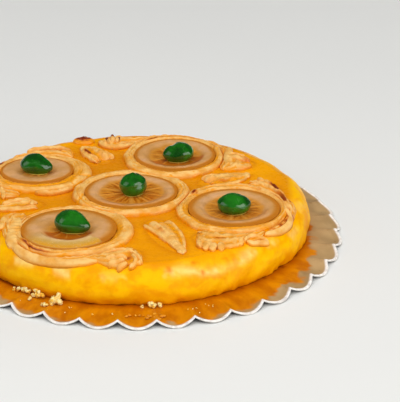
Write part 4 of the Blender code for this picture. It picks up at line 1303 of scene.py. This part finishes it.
# %% Finish of the cherries
def cherry_finish():
    """Deep clear green, a little paler in drifts, with sugar-dull patches and a wet coat."""
    fruit = Finish("candied_green_cherry", coat_roughness=0.16, specular_ior_level=0.3)
    seat_highlight, low = fruit.masks("seat_highlight", "low")
    drift = fruit.noise(0.010, 2.0)
    dull = fruit.noise(0.005, 4.0, distortion=0.8)
    sugar = fruit.noise(0.0009, 2.0)
    green = fruit.paint(
        fruit.mix((6, 66, 4), (26, 114, 14), drift.step(0.3, 0.7)),
        ((70, 140, 60), dull.step(0.60, 0.8) * 0.35),
        # painted glow: the lower part is paler and yellower, as light that passes through the fruit
        ((96, 132, 20), low * 0.35),
        # painted highlight: a pale line at the seat, where the syrup's edge catches the light
        ((236, 206, 96), seat_highlight * 0.8),
    )
    rough = 0.16 + dull.step(0.5, 0.8) * 0.25
    relief = fruit.bump(fruit.noise(0.004, 2.0), 0.0003)
    relief = fruit.bump(sugar, 0.00009, relief)
    coat = (0.95 - dull.step(0.45, 0.8) * 0.5) * (1 - low * 0.85)
    return fruit.surface(base_color=green, roughness=rough, coat_weight=coat, normal=relief)


CHERRY = cherry_finish()

# %% Set a cherry on each slice
lay_each(CHERRIES, cherry_surface, "candied_cherry_", "cherry_", 810, 10, CHERRY)


# %% [markdown]
# ## Crumbs and bubbles
# Moving the cake left a few crumbs on the card, and the puddle holds some bubbles. Each crumb could be an
# object of its own. One mesh for each kind keeps the scene light: a small lump is worked out once, then
# scaled, turned and moved for all crumbs in one go, as an array.

# %% Many small lumps as one mesh
def lump_template(rows, columns):
    """Points and faces of a unit ball on a grid."""
    down, turn = np.linspace(0, math.pi, rows)[:, None], all_round(columns)
    x, y, z = np.sin(down) * np.cos(turn), np.sin(down) * np.sin(turn), np.cos(down) + 0 * turn
    return np.stack((x, y, z), -1).reshape(-1, 3), grid_faces(rows, columns, False, True)


def scatter(name, finish, places, sizes, seed, uneven):
    """A piece with one lump for each place (n, 3), with its own half sizes (n, 3), turn and dents."""
    draw = np.random.default_rng(seed)
    ball, faces = lump_template(9, 12)
    count = len(places)
    dents = 1 + uneven * draw.normal(size=(count, len(ball), 1))
    lumps = ball[None] * dents * sizes[:, None, :]
    turn = draw.uniform(0, 2 * math.pi, count)[:, None]
    x = np.cos(turn) * lumps[..., 0] - np.sin(turn) * lumps[..., 1]
    y = np.sin(turn) * lumps[..., 0] + np.cos(turn) * lumps[..., 1]
    points = np.stack((x, y, lumps[..., 2]), -1) + places[:, None, :]
    numbers = np.arange(count)[:, None, None] * len(ball)
    faces = (faces[None] + numbers).reshape(-1, 4)
    make_piece(name, points.reshape(-1, 3), faces, finish)


def on_card(turn, reach, height):
    """Places (n, 3) from directions, distances from the card's middle and a height."""
    return np.stack((reach * np.cos(turn), reach * np.sin(turn), height + 0 * turn), 1)


# %% Crumbs
# Crumbs that show one by one: x, y, height of the middle over the card and size (mm)
CRUMBS = (
    (-74.3, -95.5, 1.8, 1.6), (-77.0, -94.2, 1.2, 1.2), (-69.9, -96.8, 2.2, 2.2),
    (-67.0, -98.6, 1.6, 1.7), (-60.8, -103.8, 2.8, 2.7), (-58.0, -105.2, 1.8, 1.9),
    (-63.4, -103.0, 1.4, 1.4), (-65.5, -107.6, 0.9, 1.2), (-54.9, -115.6, 1.1, 1.5),
    (-57.2, -115.2, 0.8, 1.1), (-49.7, -112.4, 2.8, 3.0), (-47.6, -110.8, 4.0, 2.3),
    (-46.6, -113.8, 1.6, 2.1), (-51.6, -114.6, 1.0, 1.5), (11.4, -117.4, 2.0, 2.0),
    (14.0, -117.8, 1.6, 2.2), (17.2, -117.0, 1.2, 1.7), (6.0, -117.6, 0.9, 1.1),
)
FINE_CRUMBS = 18
CRUMB_GRAINS = 4                            # each crumb is a clump of this many lumps that overlap


def crumb_finish():
    """Pale yellow sponge, dull and porous."""
    crumb = Finish("cake_crumb", roughness=0.75)
    colour = crumb.mix((255, 196, 60), (255, 236, 164), crumb.noise(0.003, 3.0).step(0.38, 0.6))
    return crumb.surface(base_color=colour, normal=crumb.bump(crumb.noise(0.0007, 3.0), 0.0004))


draw = np.random.default_rng(91)
large = np.array(CRUMBS) * MM
fine_turn = draw.uniform(math.radians(-128), math.radians(-60), FINE_CRUMBS)
fine_reach = draw.uniform(121, 132, FINE_CRUMBS) * MM
fine = on_card(fine_turn, fine_reach, 0.2 * MM)
places = np.concatenate((large[:, :3], fine)) + (0, 0, CARD_TOP_Z)
half = np.concatenate((large[:, 3], draw.uniform(0.25, 0.6, FINE_CRUMBS) * MM))
places, half = np.repeat(places, CRUMB_GRAINS, axis=0), np.repeat(half, CRUMB_GRAINS)
places = places + half[:, None] * draw.uniform(-0.55, 0.55, (len(half), 3))
sizes = half[:, None] * draw.uniform(0.4, 0.85, (len(half), 3))
scatter("cake_crumbs", crumb_finish(), places, sizes, 92, 0.14)
print(len(places) // CRUMB_GRAINS, "crumbs")

# %% Bubbles in the puddle
BUBBLES = 16


def bubble_finish():
    """A wet amber skin."""
    bubble = Finish("glaze_bubble", roughness=0.15, coat_weight=0.6, coat_roughness=0.03)
    colour = bubble.mix((214, 126, 10), (240, 164, 50), bubble.noise(0.002).step(0.4, 0.7))
    return bubble.surface(base_color=colour)


bubble_turn = draw.normal(math.radians(-84.5), math.radians(2.6), BUBBLES)
bubble_reach = draw.uniform(127, 134, BUBBLES) * MM
size = draw.uniform(0.5, 1.7, BUBBLES) * MM
places = on_card(bubble_turn, bubble_reach, CARD_TOP_Z + 0.1 * MM)
scatter("glaze_bubbles", bubble_finish(), places, size[:, None] * (1.0, 1.0, 0.45), 93, 0.03)
print(BUBBLES, "bubbles")


# %% [markdown]
# ## Floor, light and camera
# The tart is photographed in bright soft daylight. Wide lights overhead, in front and behind fill the
# shadows, and leave no highlight, because a tart mirrors a whole room and not three white squares.
# A large window on the right and a smaller one on the left are the ones that glaze and cherries mirror.
# The camera looks down at the tart by 24 degrees from a little more than a metre away.

# %% Floor
def floor_finish():
    """Even pale matt white, with the faintest drift so that it doesn't look like paper."""
    floor = Finish("pale_floor", roughness=0.7)
    colour = floor.mix((236, 236, 233), (233, 233, 230), floor.noise(0.3, 2.0))
    return floor.surface(base_color=colour)


FLOOR_HALF = 3.0
floor_mesh = bpy.data.meshes.new("floor")
corners = [(x * FLOOR_HALF, y * FLOOR_HALF, 0) for x, y in ((-1, -1), (1, -1), (1, 1), (-1, 1))]
floor_mesh.from_pydata(corners, [], [(0, 1, 2, 3)])
floor_mesh.materials.append(floor_finish())
floor = bpy.data.objects.new("floor", floor_mesh)
bpy.context.scene.collection.objects.link(floor)
print("floor", 2 * FLOOR_HALF, "m wide")


# %% Lights
def soft_light(name, place, size, watts, tint=(1.0, 1.0, 1.0), mirrored=True):
    """A square area light that faces the tart. One that isn't mirrored lights it but leaves no
    highlight."""
    lamp = bpy.data.lights.new(name, "AREA")
    lamp.size, lamp.energy, lamp.color = size, watts, tint
    holder = bpy.data.objects.new(name, lamp)
    holder.location = place
    holder.visible_glossy = mirrored
    yaw = math.atan2(place[1], place[0]) + 0.5 * math.pi
    tilt = math.atan2(math.hypot(place[0], place[1]), place[2])
    holder.rotation_euler = (tilt, 0.0, yaw)
    bpy.context.scene.collection.objects.link(holder)


soft_light("overhead", (0.0, -0.45, 1.6), 2.8, 36, mirrored=False)
soft_light("front", (-0.3, -2.0, 1.5), 1.8, 8.5, mirrored=False)
soft_light("window", (1.40, -1.10, 0.50), 1.3, 15, (1.0, 0.98, 0.95))
soft_light("left_window", (-1.5, -0.45, 0.9), 1.2, 5)
soft_light("back_panel", (0.95, 2.7, 1.35), 1.2, 16, mirrored=False)
world = bpy.data.worlds.new("daylight")
world.use_nodes = True
background = world.node_tree.nodes["Background"].inputs
background["Color"].default_value = (0.96, 0.98, 1.0, 1.0)
background["Strength"].default_value = 0.05
bpy.context.scene.world = world
bpy.context.scene.view_settings.view_transform = "Standard"
print("world strength", background["Strength"].default_value)

# %% Camera
CAMERA_DOWN = 24.33                         # how far it looks down, in degrees
camera_data = bpy.data.cameras.new("camera")
camera_data.sensor_width = 36.0
camera_data.lens = 153.0
camera_data.clip_end = 20.0
camera = bpy.data.objects.new("camera", camera_data)
camera.location = (0.0426, -1.0720, 0.5095)
camera.rotation_euler = (math.radians(90 - CAMERA_DOWN), 0.0, 0.0)
bpy.context.scene.collection.objects.link(camera)
bpy.context.scene.camera = camera
print("camera", round(float(np.linalg.norm(camera.location)), 2), "m from the tart")
